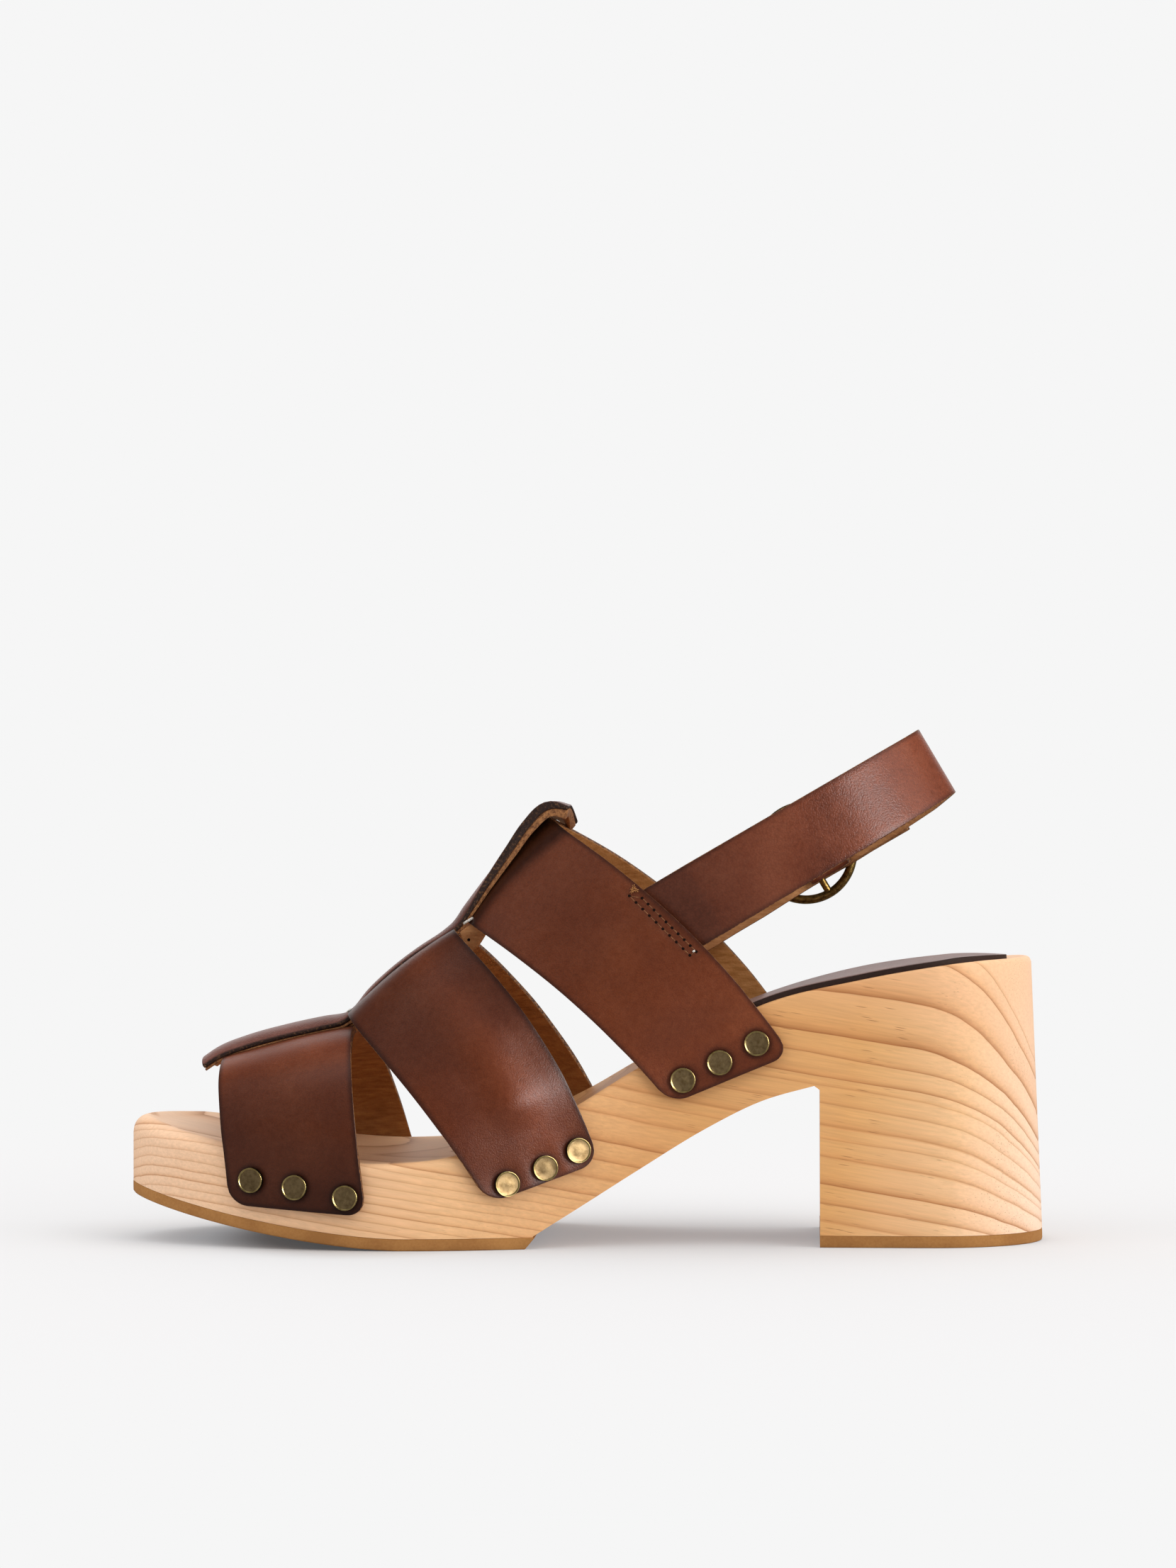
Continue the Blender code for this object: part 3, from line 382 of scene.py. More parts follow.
def grainLeather(name, look):
    # vegetable tanned cowhide, drum dyed and burnished: pebbled grain catches the light, pores are darker, and the dye
    # is deeper near edges; round the nails a painted shade darkens it. Real grain is finer; it is drawn a third to half
    # a millimetre across, so that a picture can hold it
    mat, tree, shader = newMaterial(name, look["rough"], look["gloss"])
    shader.inputs["Sheen Weight"].default_value = look["sheen"]  # dry grain looks lilac where it is seen edge on
    shader.inputs["Sheen Roughness"].default_value = 0.35
    shader.inputs["Sheen Tint"].default_value = hexColour("#d8bcb8")
    place = inMillimetres(tree)
    cloudy = noise(tree, place, 0.045, 3.0)
    mottle = noise(tree, place, 0.7, 3.0, 0.55)
    tone = sums(tree, "MULTIPLY_ADD", mottle, 0.4, cloudy)
    tone = ranged(tree, tone, 0.45, 0.95)
    colour = ramped(tree, tone, ((0.0, look["deep"]), (0.5, look["brown"]), (1.0, look["light"])))
    rim = addNode(tree, "Attribute", {"attribute_name": "rim"}).outputs["Fac"]
    # darker near the edges, where the dye is deeper, and round the nails, where a painted shade lies
    edgeDyeAndNailShade = ranged(tree, rim, 0.0, look["rimWidth"], look["rimDark"], 0.0, soft=True)
    colour = tinted(tree, edgeDyeAndNailShade, colour, look["edge"])
    # a scale of the dye's own tone, with painted highlights and painted shade in it
    dye = addNode(tree, "Attribute", {"attribute_name": "dye"}).outputs["Fac"]
    colour = vectors(tree, "SCALE", colour, dye)
    wrinkle = vectors(tree, "SCALE", noise(tree, place, 0.7, 2.0, output="Color"), 0.8)
    moved = vectors(tree, "ADD", place, wrinkle)
    pebble = addNode(tree, "TexVoronoi", None, {"Vector": moved, "Scale": 1.0 / look["pebble"]}).outputs["Distance"]
    crevice = ranged(tree, pebble, 0.2, 0.8, 1.08, 0.84)
    colour = vectors(tree, "SCALE", colour, crevice)
    fine = noise(tree, place, 3.2, 2.0)
    crease = noise(tree, place, 0.45, 3.0)
    height = sums(tree, "MULTIPLY_ADD", crease, 0.6, sums(tree, "MULTIPLY_ADD", fine, 0.5, pebble))
    paint(tree, shader, colour, height, look["grain"], 0.1, invert=True)
    gloss = ranged(tree, mottle, 0.3, 0.7, look["rough"] - 0.03, look["rough"] + 0.04)
    tree.links.new(gloss, shader.inputs["Roughness"])
    return mat

def fleshLeather(name, pale, dark):
    # the inner side of the hide: split and dry, with short streaks and no gloss
    mat, tree, shader = newMaterial(name, 0.9, 0.2)
    place = inMillimetres(tree)
    streaks = vectors(tree, "MULTIPLY", place, (0.16, 0.9, 0.9))
    streak = noise(tree, streaks, 1.0, 4.0, 0.7)
    colour = ramped(tree, streak, ((0.3, dark), (0.7, pale)))
    paint(tree, shader, colour, noise(tree, place, 1.8, 3.0), 0.35, 0.3)
    return mat

def cutEdge(name, dark, pale, share):
    # knife-cut edge of the hide, stained; paler fibres show through where the stain is thin
    mat, tree, shader = newMaterial(name, 0.7, 0.3)
    place = inMillimetres(tree)
    fibres = noise(tree, place, 1.3, 4.0, 0.7)
    colour = ramped(tree, fibres, ((share, dark), (min(share + 0.25, 1.0), pale)))
    paint(tree, shader, colour, fibres, 0.4, 0.3)
    return mat

def crepeRubber():
    # moulded tan rubber sheet, trimmed with a blade: matt, with faint specks
    mat, tree, shader = newMaterial("tanCrepeRubber", 0.85, 0.08)
    place = inMillimetres(tree)
    cloudy = noise(tree, place, 0.08, 2.0)
    speck = noise(tree, place, 1.6, 3.0)
    tone = sums(tree, "MULTIPLY_ADD", speck, 0.5, cloudy)
    colour = ramped(tree, tone, ((0.55, "#97683b"), (0.95, "#ab7a47")))
    paint(tree, shader, colour, speck, 0.25, 0.2)
    return mat

def agedBrass(name, bright, stain, rough, share):
    # brass plated cap, darkened in a bath and relieved: stain stays in hollows, raised edges are bright
    mat, tree, shader = newMaterial(name, rough, 0.5, 1.0)
    place = inMillimetres(tree)
    blotch = noise(tree, place, 0.8, 4.0, 0.6)
    colour = ramped(tree, blotch, ((share, stain), (share + 0.3, bright)))
    paint(tree, shader, colour, noise(tree, place, 3.0, 2.0), 0.15, 0.1)
    return mat

def waxedThread(name, pale, dark):
    # waxed linen thread: two plies twisted, so it is striped along a stitch
    mat, tree, shader = newMaterial(name, 0.6, 0.35)
    place = inMillimetres(tree)
    ply = noise(tree, place, 3.0, 1.0)
    colour = ramped(tree, ply, ((0.35, dark), (0.65, pale)))
    tree.links.new(colour, shader.inputs["Base Color"])
    return mat

pine = sandedPine()
rubber = crepeRubber()
bandGrain = grainLeather("burnishedCowhide", {
    "deep": "#542410", "brown": "#5f2b13", "light": "#6b341a", "edge": "#2a110a", "rimWidth": 1.6, "rimDark": 0.7,
    "rough": 0.34, "gloss": 0.36, "sheen": 0.0, "pebble": 0.36, "grain": 0.3})
slingGrain = grainLeather("pebbledCowhide", {
    "deep": "#552614", "brown": "#69331e", "light": "#743d27", "edge": "#34170f", "rimWidth": 1.6, "rimDark": 0.6,
    "rough": 0.35, "gloss": 0.36, "sheen": 0.0, "pebble": 0.5, "grain": 0.45})
spineGrain = grainLeather("crownedCowhide", {
    "deep": "#4c251b", "brown": "#65382b", "light": "#734438", "edge": "#22110d", "rimWidth": 0.3, "rimDark": 0.6,
    "rough": 0.4, "gloss": 0.45, "sheen": 0.28, "pebble": 0.5, "grain": 0.7})
sockGrain = grainLeather("smoothSockLeather", {
    "deep": "#3a2019", "brown": "#56352b", "light": "#613e34", "edge": "#2a1915", "rimWidth": 0.4, "rimDark": 0.6,
    "rough": 0.42, "gloss": 0.3, "sheen": 0.4, "pebble": 0.4, "grain": 0.3})
bandFlesh = fleshLeather("splitFlesh", "#a86f3c", "#7d4c22")
# a paler copy of the flesh finish, painting in light on the inner side of the instep band
instepLitFlesh = fleshLeather("litSplitFlesh", "#c68f58", "#9a6634")
paleFlesh = fleshLeather("paleSplitFlesh", "#bd8a5c", "#95613a")
bandEdge = cutEdge("stainedEdge", "#40241a", "#a4703f", 0.42)
paintedEdge = cutEdge("paintedEdge", "#2a1811", "#7a5434", 0.52)
naturalEdge = cutEdge("naturalEdge", "#5e361c", "#a06c40", 0.36)
sockEdge = cutEdge("inkedSockEdge", "#2a1710", "#43291d", 0.6)
studRim = agedBrass("relievedBrassRim", "#e0c684", "#a88c52", 0.3, 0.2)
studFace = agedBrass("stainedBrassFace", "#b3976c", "#8a704b", 0.42, 0.3)
studSide = agedBrass("darkBrassSide", "#4a3a20", "#22190e", 0.45, 0.4)
ringBrass = agedBrass("castBuckleBrass", "#a5854a", "#5f4a26", 0.36, 0.35)
tanThread = waxedThread("tanLinenThread", "#8f5c36", "#5c3820")
frayedThread = waxedThread("frayedLinen", "#b98149", "#8a5930")
whiteThread = waxedThread("undyedThread", "#d9d4cc", "#a39a90")
# painted shade: the bottom of a hole is drawn nearly black
holeShade, tree, shader = newMaterial("stitchHoleShade", 0.9, 0.1)  # dark bottom of a pricked hole
shader.inputs["Base Color"].default_value = hexColour("#160b07")
print("finishes made")

# Sole: x, half width to the inner and the outer side, rim height on both sides, roundness of the top edge
sole = {
    "toeX": 120.5, "heelX": -117.4, "heelRake": 3.1, "heelHeight": 75.4, "leanFade": 12.0, "tipY": 6.0,
    "toeRoundX": 70.0, "toeRoundPower": 3.0, "heelRoundX": -84.0, "heelRoundPower": 2.2, "dish": 1.0,
    "breastX": -61.6, "breastChamfer": 1.5, "tread": 3.1, "spring": 12.6, "springX": 46.0, "springPower": 1.6,
    "rows": ((-117.4, 29.0, 29.0, 75.3, 74.6, 1.6), (-95.0, 29.2, 29.4, 73.4, 72.7, 0.8),
             (-72.0, 29.0, 30.0, 69.5, 69.2, 0.8), (-46.0, 28.6, 31.6, 62.8, 61.5, 0.9),
             (-30.0, 28.8, 33.4, 54.9, 54.6, 1.2), (-13.0, 30.4, 36.2, 45.6, 45.4, 1.4),
             (2.0, 33.8, 39.6, 36.4, 36.6, 1.6), (18.0, 38.6, 43.0, 28.8, 29.3, 2.0),
             (33.0, 42.4, 45.0, 24.2, 24.7, 2.2), (50.0, 44.0, 45.2, 22.4, 23.3, 2.4),
             (68.0, 42.6, 43.0, 23.2, 24.4, 2.8), (84.0, 39.6, 39.4, 25.0, 26.7, 3.4),
             (100.0, 36.4, 36.0, 28.2, 30.2, 4.0), (120.5, 32.4, 32.6, 32.4, 33.2, 4.4)),
    "arch": ((-61.3, 42.3), (-46.0, 37.8), (-32.0, 30.8), (-14.0, 19.8), (1.0, 10.4), (12.4, 3.4)),
    "rimBlend": 12.0, "middleEnds": (-92.0, 84.0), "treadStart": 14.6, "treadSlant": 2.6, "slantRun": 3.0,
    "treadEnds": (26.0, 36.0), "treadInsets": (0.4, 0.3),
}

def endRound(x):
    toe = np.clip((x - sole["toeRoundX"]) / (sole["toeX"] - sole["toeRoundX"]), 0.0, 1.0)
    heel = np.clip((x - sole["heelRoundX"]) / (sole["heelX"] - sole["heelRoundX"]), 0.0, 1.0)
    return np.sqrt((1.0 - toe ** sole["toeRoundPower"]) * (1.0 - heel ** sole["heelRoundPower"]))

def tipLine(x):
    return sole["tipY"] * np.clip(x / sole["toeX"], 0.0, 1.0)

def soleSide(x, side, out=0.0):
    # the sole's outline: side is +1 on the inner side of the foot and -1 on the outer
    x = np.asarray(x, float)
    half = curveAt(sole["rows"], 1 if side > 0 else 2, x)
    y = tipLine(x) + (side * half - tipLine(x)) * endRound(x)
    if out:
        slope = soleSide(x + 0.5, side) - soleSide(x - 0.5, side)
        y = y + side * out * np.sqrt(1.0 + slope ** 2)
    return y

def rimHeight(x, share):
    return curveAt(sole["rows"], 3, x) * (1 - share) + curveAt(sole["rows"], 4, x) * share

def floorLift(x):
    lift = np.clip((x - sole["springX"]) / (sole["toeX"] - sole["springX"]), 0.0, 1.0)
    return sole["spring"] * lift ** sole["springPower"]

def woodUnder(x):
    arch = curveAt(sole["arch"], 1, x)
    start = sole["breastX"] + sole["breastChamfer"]
    arch = np.where(x < start, arch - (start - x), arch)  # small chamfer where the arch meets the heel
    under = np.where(x > sole["arch"][-1][0], floorLift(x) + sole["tread"], arch)
    return np.where(x < sole["breastX"], sole["tread"], under)

def heelLean(x, normalX, z):
    share = np.clip((sole["heelRoundX"] - x) / sole["leanFade"], 0.0, 1.0) * np.clip(-normalX, 0.0, 1.0)
    return sole["heelRake"] * share * (1.0 - np.clip(z / sole["heelHeight"], 0.0, 1.0))

def outline(xs, roundBack=True, roundToe=True):
    # plan points round the sole and their outward directions
    inner = np.column_stack([xs, soleSide(xs, 1)])
    outer = np.column_stack([xs, soleSide(xs, -1)])[::-1]
    loop = np.concatenate([inner, outer])
    tangent = np.roll(loop, -1, axis=0) - np.roll(loop, 1, axis=0)
    last = len(xs) - 1
    for a, b, closed in ((last, last + 1, roundToe), (len(loop) - 1, 0, roundBack)):
        if closed:  # both points lie on the tip, and share its direction
            tangent[a] = tangent[b] = loop[(b + 1) % len(loop)] - loop[a - 1]
        else:
            tangent[a] = loop[a] - loop[a - 1]
            tangent[b] = loop[(b + 1) % len(loop)] - loop[b]
    tangent = unit(tangent)
    return loop, np.column_stack([-tangent[:, 1], tangent[:, 0]])

def endSpaced(start, end, count, extra=()):
    # places along the sole, closer together at both ends
    t = np.linspace(0.0, 1.0, count)
    xs = start + (end - start) * (0.35 * t + 0.65 * (0.5 - 0.5 * np.cos(np.pi * t)))
    return np.unique(np.round(np.concatenate([xs, extra]), 4))

def middleLine(x, start, end):
    x = np.clip(x, start, end)
    return np.column_stack([x, (soleSide(x, 1) + soleSide(x, -1)) / 2])

def ringSolid(name, rings, mat):
    rings = np.asarray(rings)
    closed = np.concatenate([rings, rings[:, :1]], axis=1)
    piece = gridPiece(name, closed, [mat])
    closeSeams(piece)
    return piece

def carveSole():
    breast, archEnd = sole["breastX"], sole["arch"][-1][0]
    xs = endSpaced(sole["heelX"], sole["toeX"], 150,
                   [breast + d for d in (-0.05, 0.05, 0.5, 1.0, 1.5)] + [archEnd + d for d in (-0.2, 0.0, 0.2)])
    loop, normals = outline(xs)
    x = loop[:, 0]
    share = np.where(np.arange(len(loop)) < len(xs), 0.0, 1.0)
    blend = np.clip(np.minimum(x - sole["heelX"], sole["toeX"] - x) / sole["rimBlend"], 0.0, 1.0)
    share = 0.5 + (share - 0.5) * blend
    rim = rimHeight(x, share)
    edge = curveAt(sole["rows"], 5, x)
    under = woodUnder(x)
    middle = middleLine(x, *sole["middleEnds"])
    rings = []
    base = loop + normals * heelLean(x, normals[:, 0], under)[:, None]
    for t in np.linspace(1.0, 0.0, 13):
        plan = base * (1 - t) + middle * t
        rings.append(np.column_stack([plan, woodUnder(plan[:, 0])]))
    top = rim - edge
    for k in np.linspace(0.0, 1.0, 15)[1:]:
        z = under + (top - under) * k
        rings.append(np.column_stack([loop + normals * heelLean(x, normals[:, 0], z)[:, None], z]))
    for turn in np.radians(np.linspace(0.0, 90.0, 8)[1:]):
        inset = edge * (1 - math.cos(turn))
        rings.append(np.column_stack([loop - normals * inset[:, None], rim - edge * (1 - math.sin(turn))]))
    rimLoop = loop - normals * edge[:, None]
    for t in np.linspace(0.0, 1.0, 15)[1:]:
        plan = rimLoop * (1 - t) + middle * t
        inner = soleSide(plan[:, 0], 1)
        outer = soleSide(plan[:, 0], -1)
        s = np.clip((inner - plan[:, 1]) / np.maximum(inner - outer, 1.0), 0.0, 1.0)
        s = share * (1 - t) + s * t
        rings.append(np.column_stack([plan, rimHeight(plan[:, 0], s) - sole["dish"] * (1 - (1 - t) ** 2)]))
    piece = ringSolid("carvedSole", rings, pine)
    finishPiece(piece, ["wooden_sole"], 35.0)

def cutTread(name, xs, roundBack, roundToe, lower, slant, node):
    # rubber plate with the wood's outline; its lower edge is trimmed by hand, so it wavers a little
    loop, normals = outline(xs, roundBack, roundToe)
    x = loop[:, 0]
    z = lower(x)
    backEnd, toeEnd = sole["treadEnds"]
    middle = middleLine(x, xs[0] + backEnd * roundBack, xs[-1] - toeEnd * roundToe)
    lean = normals * heelLean(x, normals[:, 0], z)[:, None]
    waver = 0.12 * np.sin(x * 0.9) * np.sin(x * 0.23 + 1.0) + 0.08 * np.sin(x * 2.3)

    def plate(t, inset, rise):
        plan = (loop - normals * inset) * (1 - t) + middle * t
        return np.column_stack([plan + lean * (1 - t), lower(plan[:, 0]) + rise])

    floorInset, topInset = sole["treadInsets"]
    rings = [plate(t, floorInset, 0.0) for t in np.linspace(1.0, 0.0, 9)]
    for rise, inset in ((0.15, 0.12), (0.4, 0.0), (1.5, 0.0), (2.6, 0.0), (sole["tread"] - 0.08, 0.05)):
        wall = z + rise
        out = heelLean(x, normals[:, 0], wall) - inset + waver * math.exp(-rise)
        rings.append(np.column_stack([loop + normals * out[:, None], wall]))
    rings = np.asarray(rings + [plate(t, topInset, sole["tread"]) for t in np.linspace(0.0, 1.0, 7)])
    if slant:  # the rear end is cut sloping, longer at the top
        rear = np.clip(1.0 - (rings[:, :, 0] - xs[0]) / sole["slantRun"], 0.0, 1.0)
        rings[:, :, 0] -= slant * rear * (rings[:, :, 2] - z[None, :]) / sole["tread"]
    piece = ringSolid(name, rings, rubber)
    finishPiece(piece, [node], 35.0)

carveSole()
cutTread("forefootTread", endSpaced(sole["treadStart"], sole["toeX"], 90), False, True, floorLift, sole["treadSlant"],
         "forefoot_outsole")
cutTread("heelTread", endSpaced(sole["heelX"], sole["breastX"], 60), True, False, np.zeros_like, 0.0, "heel_top_piece")
print("sole carved and treads cut")

# Heel sock: thin leather on the heel of the footbed
sock = {"thick": 1.45, "lift": 0.25, "frontX": -30.0, "rearX": -111.0, "inset": 0.5, "frontCurve": 6.0,
        "frontNarrow": 0.2, "rearCurve": 22.0, "rearNarrow": 0.985, "rearPower": 2.4, "edgeDrop": 0.5, "dropRun": 2.0,
        "dishShare": 0.95}

def laySock():
    turn = np.linspace(0.0, math.pi / 2, 18)
    frontEnd = sock["frontX"] - sock["frontCurve"]
    rearStart = sock["rearX"] + sock["rearCurve"]
    xs = np.concatenate([frontEnd + sock["frontCurve"] * np.cos(turn[::3]),
                         np.linspace(frontEnd - 2.0, rearStart + 1.0, 40),
                         rearStart - sock["rearCurve"] * np.sin(turn[1:])])
    front = np.clip((xs - frontEnd) / sock["frontCurve"], 0.0, 1.0)
    rear = np.clip((rearStart - xs) / sock["rearCurve"], 0.0, 1.0)
    narrow = np.sqrt(1 - sock["frontNarrow"] * front ** 2) * np.sqrt(1 - sock["rearNarrow"] * rear ** sock["rearPower"])
    shares = 0.5 - 0.5 * np.cos(np.linspace(0.0, math.pi, 31))
    points = np.zeros((len(xs), len(shares), 3))
    rim = np.zeros(points.shape[:2])
    for r, x in enumerate(xs):
        inner, outer = soleSide(x, 1), soleSide(x, -1)
        y = (inner - sock["inset"]) * narrow[r] * (1 - shares) + (outer + sock["inset"]) * narrow[r] * shares
        s = (inner - y) / (inner - outer)
        fall = np.clip(1 - np.minimum(inner - y, y - outer) / sock["dropRun"], 0.0, 1.0) ** 2
        dish = sole["dish"] * (1 - (2 * s - 1) ** 2) * sock["dishShare"]
        z = rimHeight(x, s) - dish + sock["lift"] - sock["edgeDrop"] * fall
        points[r] = np.column_stack([np.full(len(y), x), y, z])
        rim[r] = np.minimum(np.minimum(y[0] - y, y - y[-1]), min(xs[0] - x, x - xs[-1]) + 0.2)
    piece = gridPiece("heelSock", points, [sockGrain, bandFlesh, sockEdge], {"rim": rim, "dye": np.ones(rim.shape)})
    turnOutward(piece, (0.0, 0.0, 1.0))
    thicken(piece, sock["thick"])
    roundEdges(piece, 0.4)
    finishPiece(piece, ["heel_sock"])

laySock()
print("sock laid")

# Bands: for the front and the rear edge, the crest, the two lower ends, how full the arch is, and the bow on each
# side. Dye and painted light run from crest to sole, and across from front to rear: the lighter zones are painted
# highlights where the hide turns to the lamps, and the mid band's dark rear edge is painted shade where it curls in;
# creases are drawn from one point on the side of the shoe to another, with height and width
bandColumns = ("crestX", "crestY", "crestZ", "innerX", "innerZ", "outerX", "outerZ", "full", "innerBow", "outerBow")
bands = {
    "toe": {"front": (95.3, 4.0, 46.4, 90.6, 11.6, 85.0, 12.0, 2.3, 0.5, 0.0),
            "rear": (60.8, 7.0, 54.8, 55.0, 9.0, 46.5, 9.6, 2.3, 0.0, 0.0),
            "studs": ((84.6, 18.0), (73.2, 16.4), (60.2, 13.9)), "crown": 0.6,
            "dye": ((0.0, 1.35), (0.22, 1.4), (0.4, 0.94), (0.55, 0.76), (0.8, 0.62), (1.0, 0.45)),
            "dyeAndHighlightAcross": ((0.0, 1.0), (1.0, 0.95)), "spineShade": (0.8, 2.4),
            "creases": (((91.0, 41.5), (60.0, 42.0), 0.35, 4.0),)},
    "mid": {"front": (61.4, 11.0, 58.6, 24.0, 12.2, 21.5, 12.6, 2.2, 2.2, 2.2),
            "rear": (33.8, 11.0, 80.6, -4.2, 22.4, -7.0, 22.4, 2.2, 4.6, 2.8),
            "studs": ((19.6, 17.3), (9.9, 21.2), (1.5, 25.6)), "crown": 1.1,
            "dye": ((0.0, 0.72), (0.25, 0.72), (0.45, 0.85), (0.7, 1.15), (1.0, 1.05)),
            "dyeAndHighlightAcross": ((0.0, 0.95), (0.4, 0.95), (0.68, 1.35), (0.86, 1.0), (1.0, 0.7)), "spineShade": (0.2, 1.0),
            "creases": (((25.0, 54.0), (13.0, 28.0), 0.9, 6.0), ((42.0, 62.0), (25.0, 40.0), -0.2, 4.0))},
    "instep": {"front": (31.0, 4.0, 83.6, -22.8, 37.2, -24.0, 37.2, 2.1, 3.2, 2.2),
               "rear": (8.8, 2.0, 109.8, -54.2, 50.2, -56.2, 50.4, 2.1, 4.6, 6.0),
               "studs": ((-26.0, 43.5), (-35.6, 48.1), (-45.3, 53.1)), "crown": 0.9,
               "dye": ((0.0, 1.0), (0.3, 1.05), (0.5, 1.0), (0.8, 1.4), (1.0, 1.15)),
               "dyeAndHighlightAcross": ((0.0, 1.0), (1.0, 1.0)), "spineShade": (0.8, 4.0),
               "creases": (((-8.0, 74.0), (-20.0, 64.0), 0.4, 7.0), ((9.0, 107.0), (22.4, 86.0), 0.45, 3.0))},
}
# painted shade of the hide: its reach round each nail, and how dark the band is drawn beside and under the spine
hide = {"thick": 2.0, "corner": 5.0, "studDent": 0.5, "dentSize": 4.6, "ripple": 0.18, "clampedTo": 1.0, "freeRun": 7.0,
        "nailShadeRim": 3.1, "spineHalf": 12.0, "spineShadow": 0.28, "crestShadow": 0.45}
# the sling's two rows of stitches, from their upper to their lower end: x and z on the instep band
seam = {"rows": (((-12.03, 91.17), (-27.88, 75.86)), ((-15.35, 90.6), (-29.55, 76.8))), "holes": 10,
        "trough": 0.22, "troughWidth": 0.8, "darkRun": (1.4, 3.0), "dye": 0.8}

def bandLine(values, side, cut, bends, legs):
    # one line of a band's inner face, from the crest down to its end beside the sole
    crest = np.array([values["crestX"], values["crestZ"]])
    end = np.array([values["innerX"], values["innerZ"]] if side > 0 else [values["outerX"], values["outerZ"]])
    run = end - crest
    back = np.array([run[1], -run[0]]) / np.linalg.norm(run)
    bow = values["innerBow"] if side > 0 else values["outerBow"]

    def spot(t):
        t = np.asarray(t, float)[:, None]
        return crest + run * t + back * bow * 4 * t * (1 - t)

    trial = np.linspace(0.0, 1.0, 400)
    places = spot(trial)
    wallT = trial[places[:, 1] > rimHeight(places[:, 0], 0.0 if side > 0 else 1.0) + 1.0].max()
    angle = np.linspace(0.0, math.pi / 2, bends)
    power = 2.0 / values["full"]
    last = 1.0 - cut / np.linalg.norm(run)
    t = np.concatenate([wallT * (1 - np.cos(angle) ** power), wallT + (last - wallT) * np.linspace(0.0, 1.0, legs)[1:]])
    places = spot(t)
    reach = np.concatenate([np.sin(angle) ** power, np.ones(legs - 1)])
    wallY = soleSide(spot([wallT])[0, 0], side, gap)
    y = np.where(t > wallT, soleSide(places[:, 0], side, gap), values["crestY"] + (wallY - values["crestY"]) * reach)
    return np.column_stack([places[:, 0], y, places[:, 1]])

def bandAt(band, share):
    front, rear = bands[band]["front"], bands[band]["rear"]
    return {name: front[k] * (1 - share) + rear[k] * share for k, name in enumerate(bandColumns)}

def bandFace(band, across=41, bends=44, legs=18):
    # inner face of a band: rows from the inner end over the foot to the outer end, columns front to rear
    t = np.linspace(0.0, 1.0, across)
    shares = 0.45 * t + 0.55 * (0.5 - 0.5 * np.cos(np.pi * t))
    front, rear = bandAt(band, 0.0), bandAt(band, 1.0)
    width = math.hypot(front["innerX"] - rear["innerX"], front["innerZ"] - rear["innerZ"])
    lines, rims = [], []
    for share in shares:
        fromEdge = min(share, 1.0 - share) * width
        miss = max(0.0, hide["corner"] - fromEdge)
        cut = hide["corner"] - math.sqrt(max(0.0, hide["corner"] ** 2 - miss ** 2))
        values = bandAt(band, share)
        line = np.concatenate([bandLine(values, 1, cut, bends, legs)[::-1], bandLine(values, -1, cut, bends, legs)[1:]])
        run = runAlong(line)
        lines.append(line)
        rims.append(np.minimum(np.minimum(run, run[-1] - run), fromEdge))
    face = np.stack(lines, axis=1)
    normals = faceNormals(face)
    if normals[len(face) // 2, across // 2, 2] < 0:
        normals = -normals
    return face, normals, np.stack(rims, axis=1), shares

def studSpot(band, x, z, side):
    # place of a stud on the sole's wall, and the way it faces
    if side < 0:
        front, rear = bandAt(band, 0.0), bandAt(band, 1.0)
        values = bandAt(band, (front["innerX"] - x) / (front["innerX"] - rear["innerX"]))
        x = x + values["outerX"] - values["innerX"]
        z = z + values["outerZ"] - values["innerZ"]
    slope = (soleSide(x + 1.0, side) - soleSide(x - 1.0, side)) / 2
    return np.array([x, soleSide(x, side, gap), z]), unit(np.array([-slope, 1.0, 0.0])) * side

def awayFrom(face, start, end):
    # distance of each point from a line drawn on the side of the shoe
    start, end = np.array(start), np.array(end)
    flat = face[:, :, [0, 2]]
    t = np.clip(((flat - start) @ (end - start)) / ((end - start) @ (end - start)), 0.0, 1.0)
    return np.linalg.norm(flat - (start + t[:, :, None] * (end - start)), axis=2)

def pressedIn(band, face):
    # creases placed one by one: soft ridges and troughs across the hide, and the pull of the seam
    depth = np.zeros(face.shape[:2])
    for start, end, height, width in bands[band]["creases"]:
        depth += height * np.exp(-(awayFrom(face, start, end) / width) ** 2)
    if band == "instep":
        for start, end in seam["rows"]:
            pull = np.exp(-(awayFrom(face, start, end) / seam["troughWidth"]) ** 2)
            depth -= seam["trough"] * pull * (face[:, :, 1] > 0)
    return depth

def dyeAndPaintedLightOf(band, face, shares):
    # how much of the dye's light brown shows, with painted light in it: painted highlights where the hide turns to the
    # lamps, less at the ends, painted shadow beside and under the spine, and darker between the seam's rows
    height = np.abs(np.linspace(1.0, -1.0, len(face)))
    down = np.interp(height, *zip(*bands[band]["dye"]))
    dye = down[:, None] * np.interp(shares, *zip(*bands[band]["dyeAndHighlightAcross"]))[None]
    middle = len(face) // 2
    for half in (range(middle, -1, -1), range(middle, len(face))):
        half = list(half)
        run = np.zeros((len(half), face.shape[1]))
        run[1:] = np.cumsum(np.linalg.norm(np.diff(face[half], axis=0), axis=2), axis=0)
        for col in range(face.shape[1]):
            spineRun = np.interp(hide["spineHalf"], np.maximum.accumulate(np.abs(face[half, col, 1])), run[:, col])
            # painted shadow: the spine's shadow on the band beside its edge, and deep shade on the crest under it
            shade = np.interp(run[:, col] - spineRun, bands[band]["spineShade"], (hide["spineShadow"], 1.0))
            dye[half, col] *= np.where(np.arange(len(half)) == 0, hide["crestShadow"], shade)
    # darker between the two rows of stitches
    if band == "instep":
        start, end = np.mean(seam["rows"], axis=0)
        shade = np.interp(awayFrom(face, start, end), seam["darkRun"], (seam["dye"], 1.0))
        dye *= np.where(face[:, :, 1] > 0, shade, 1.0)
    return dye

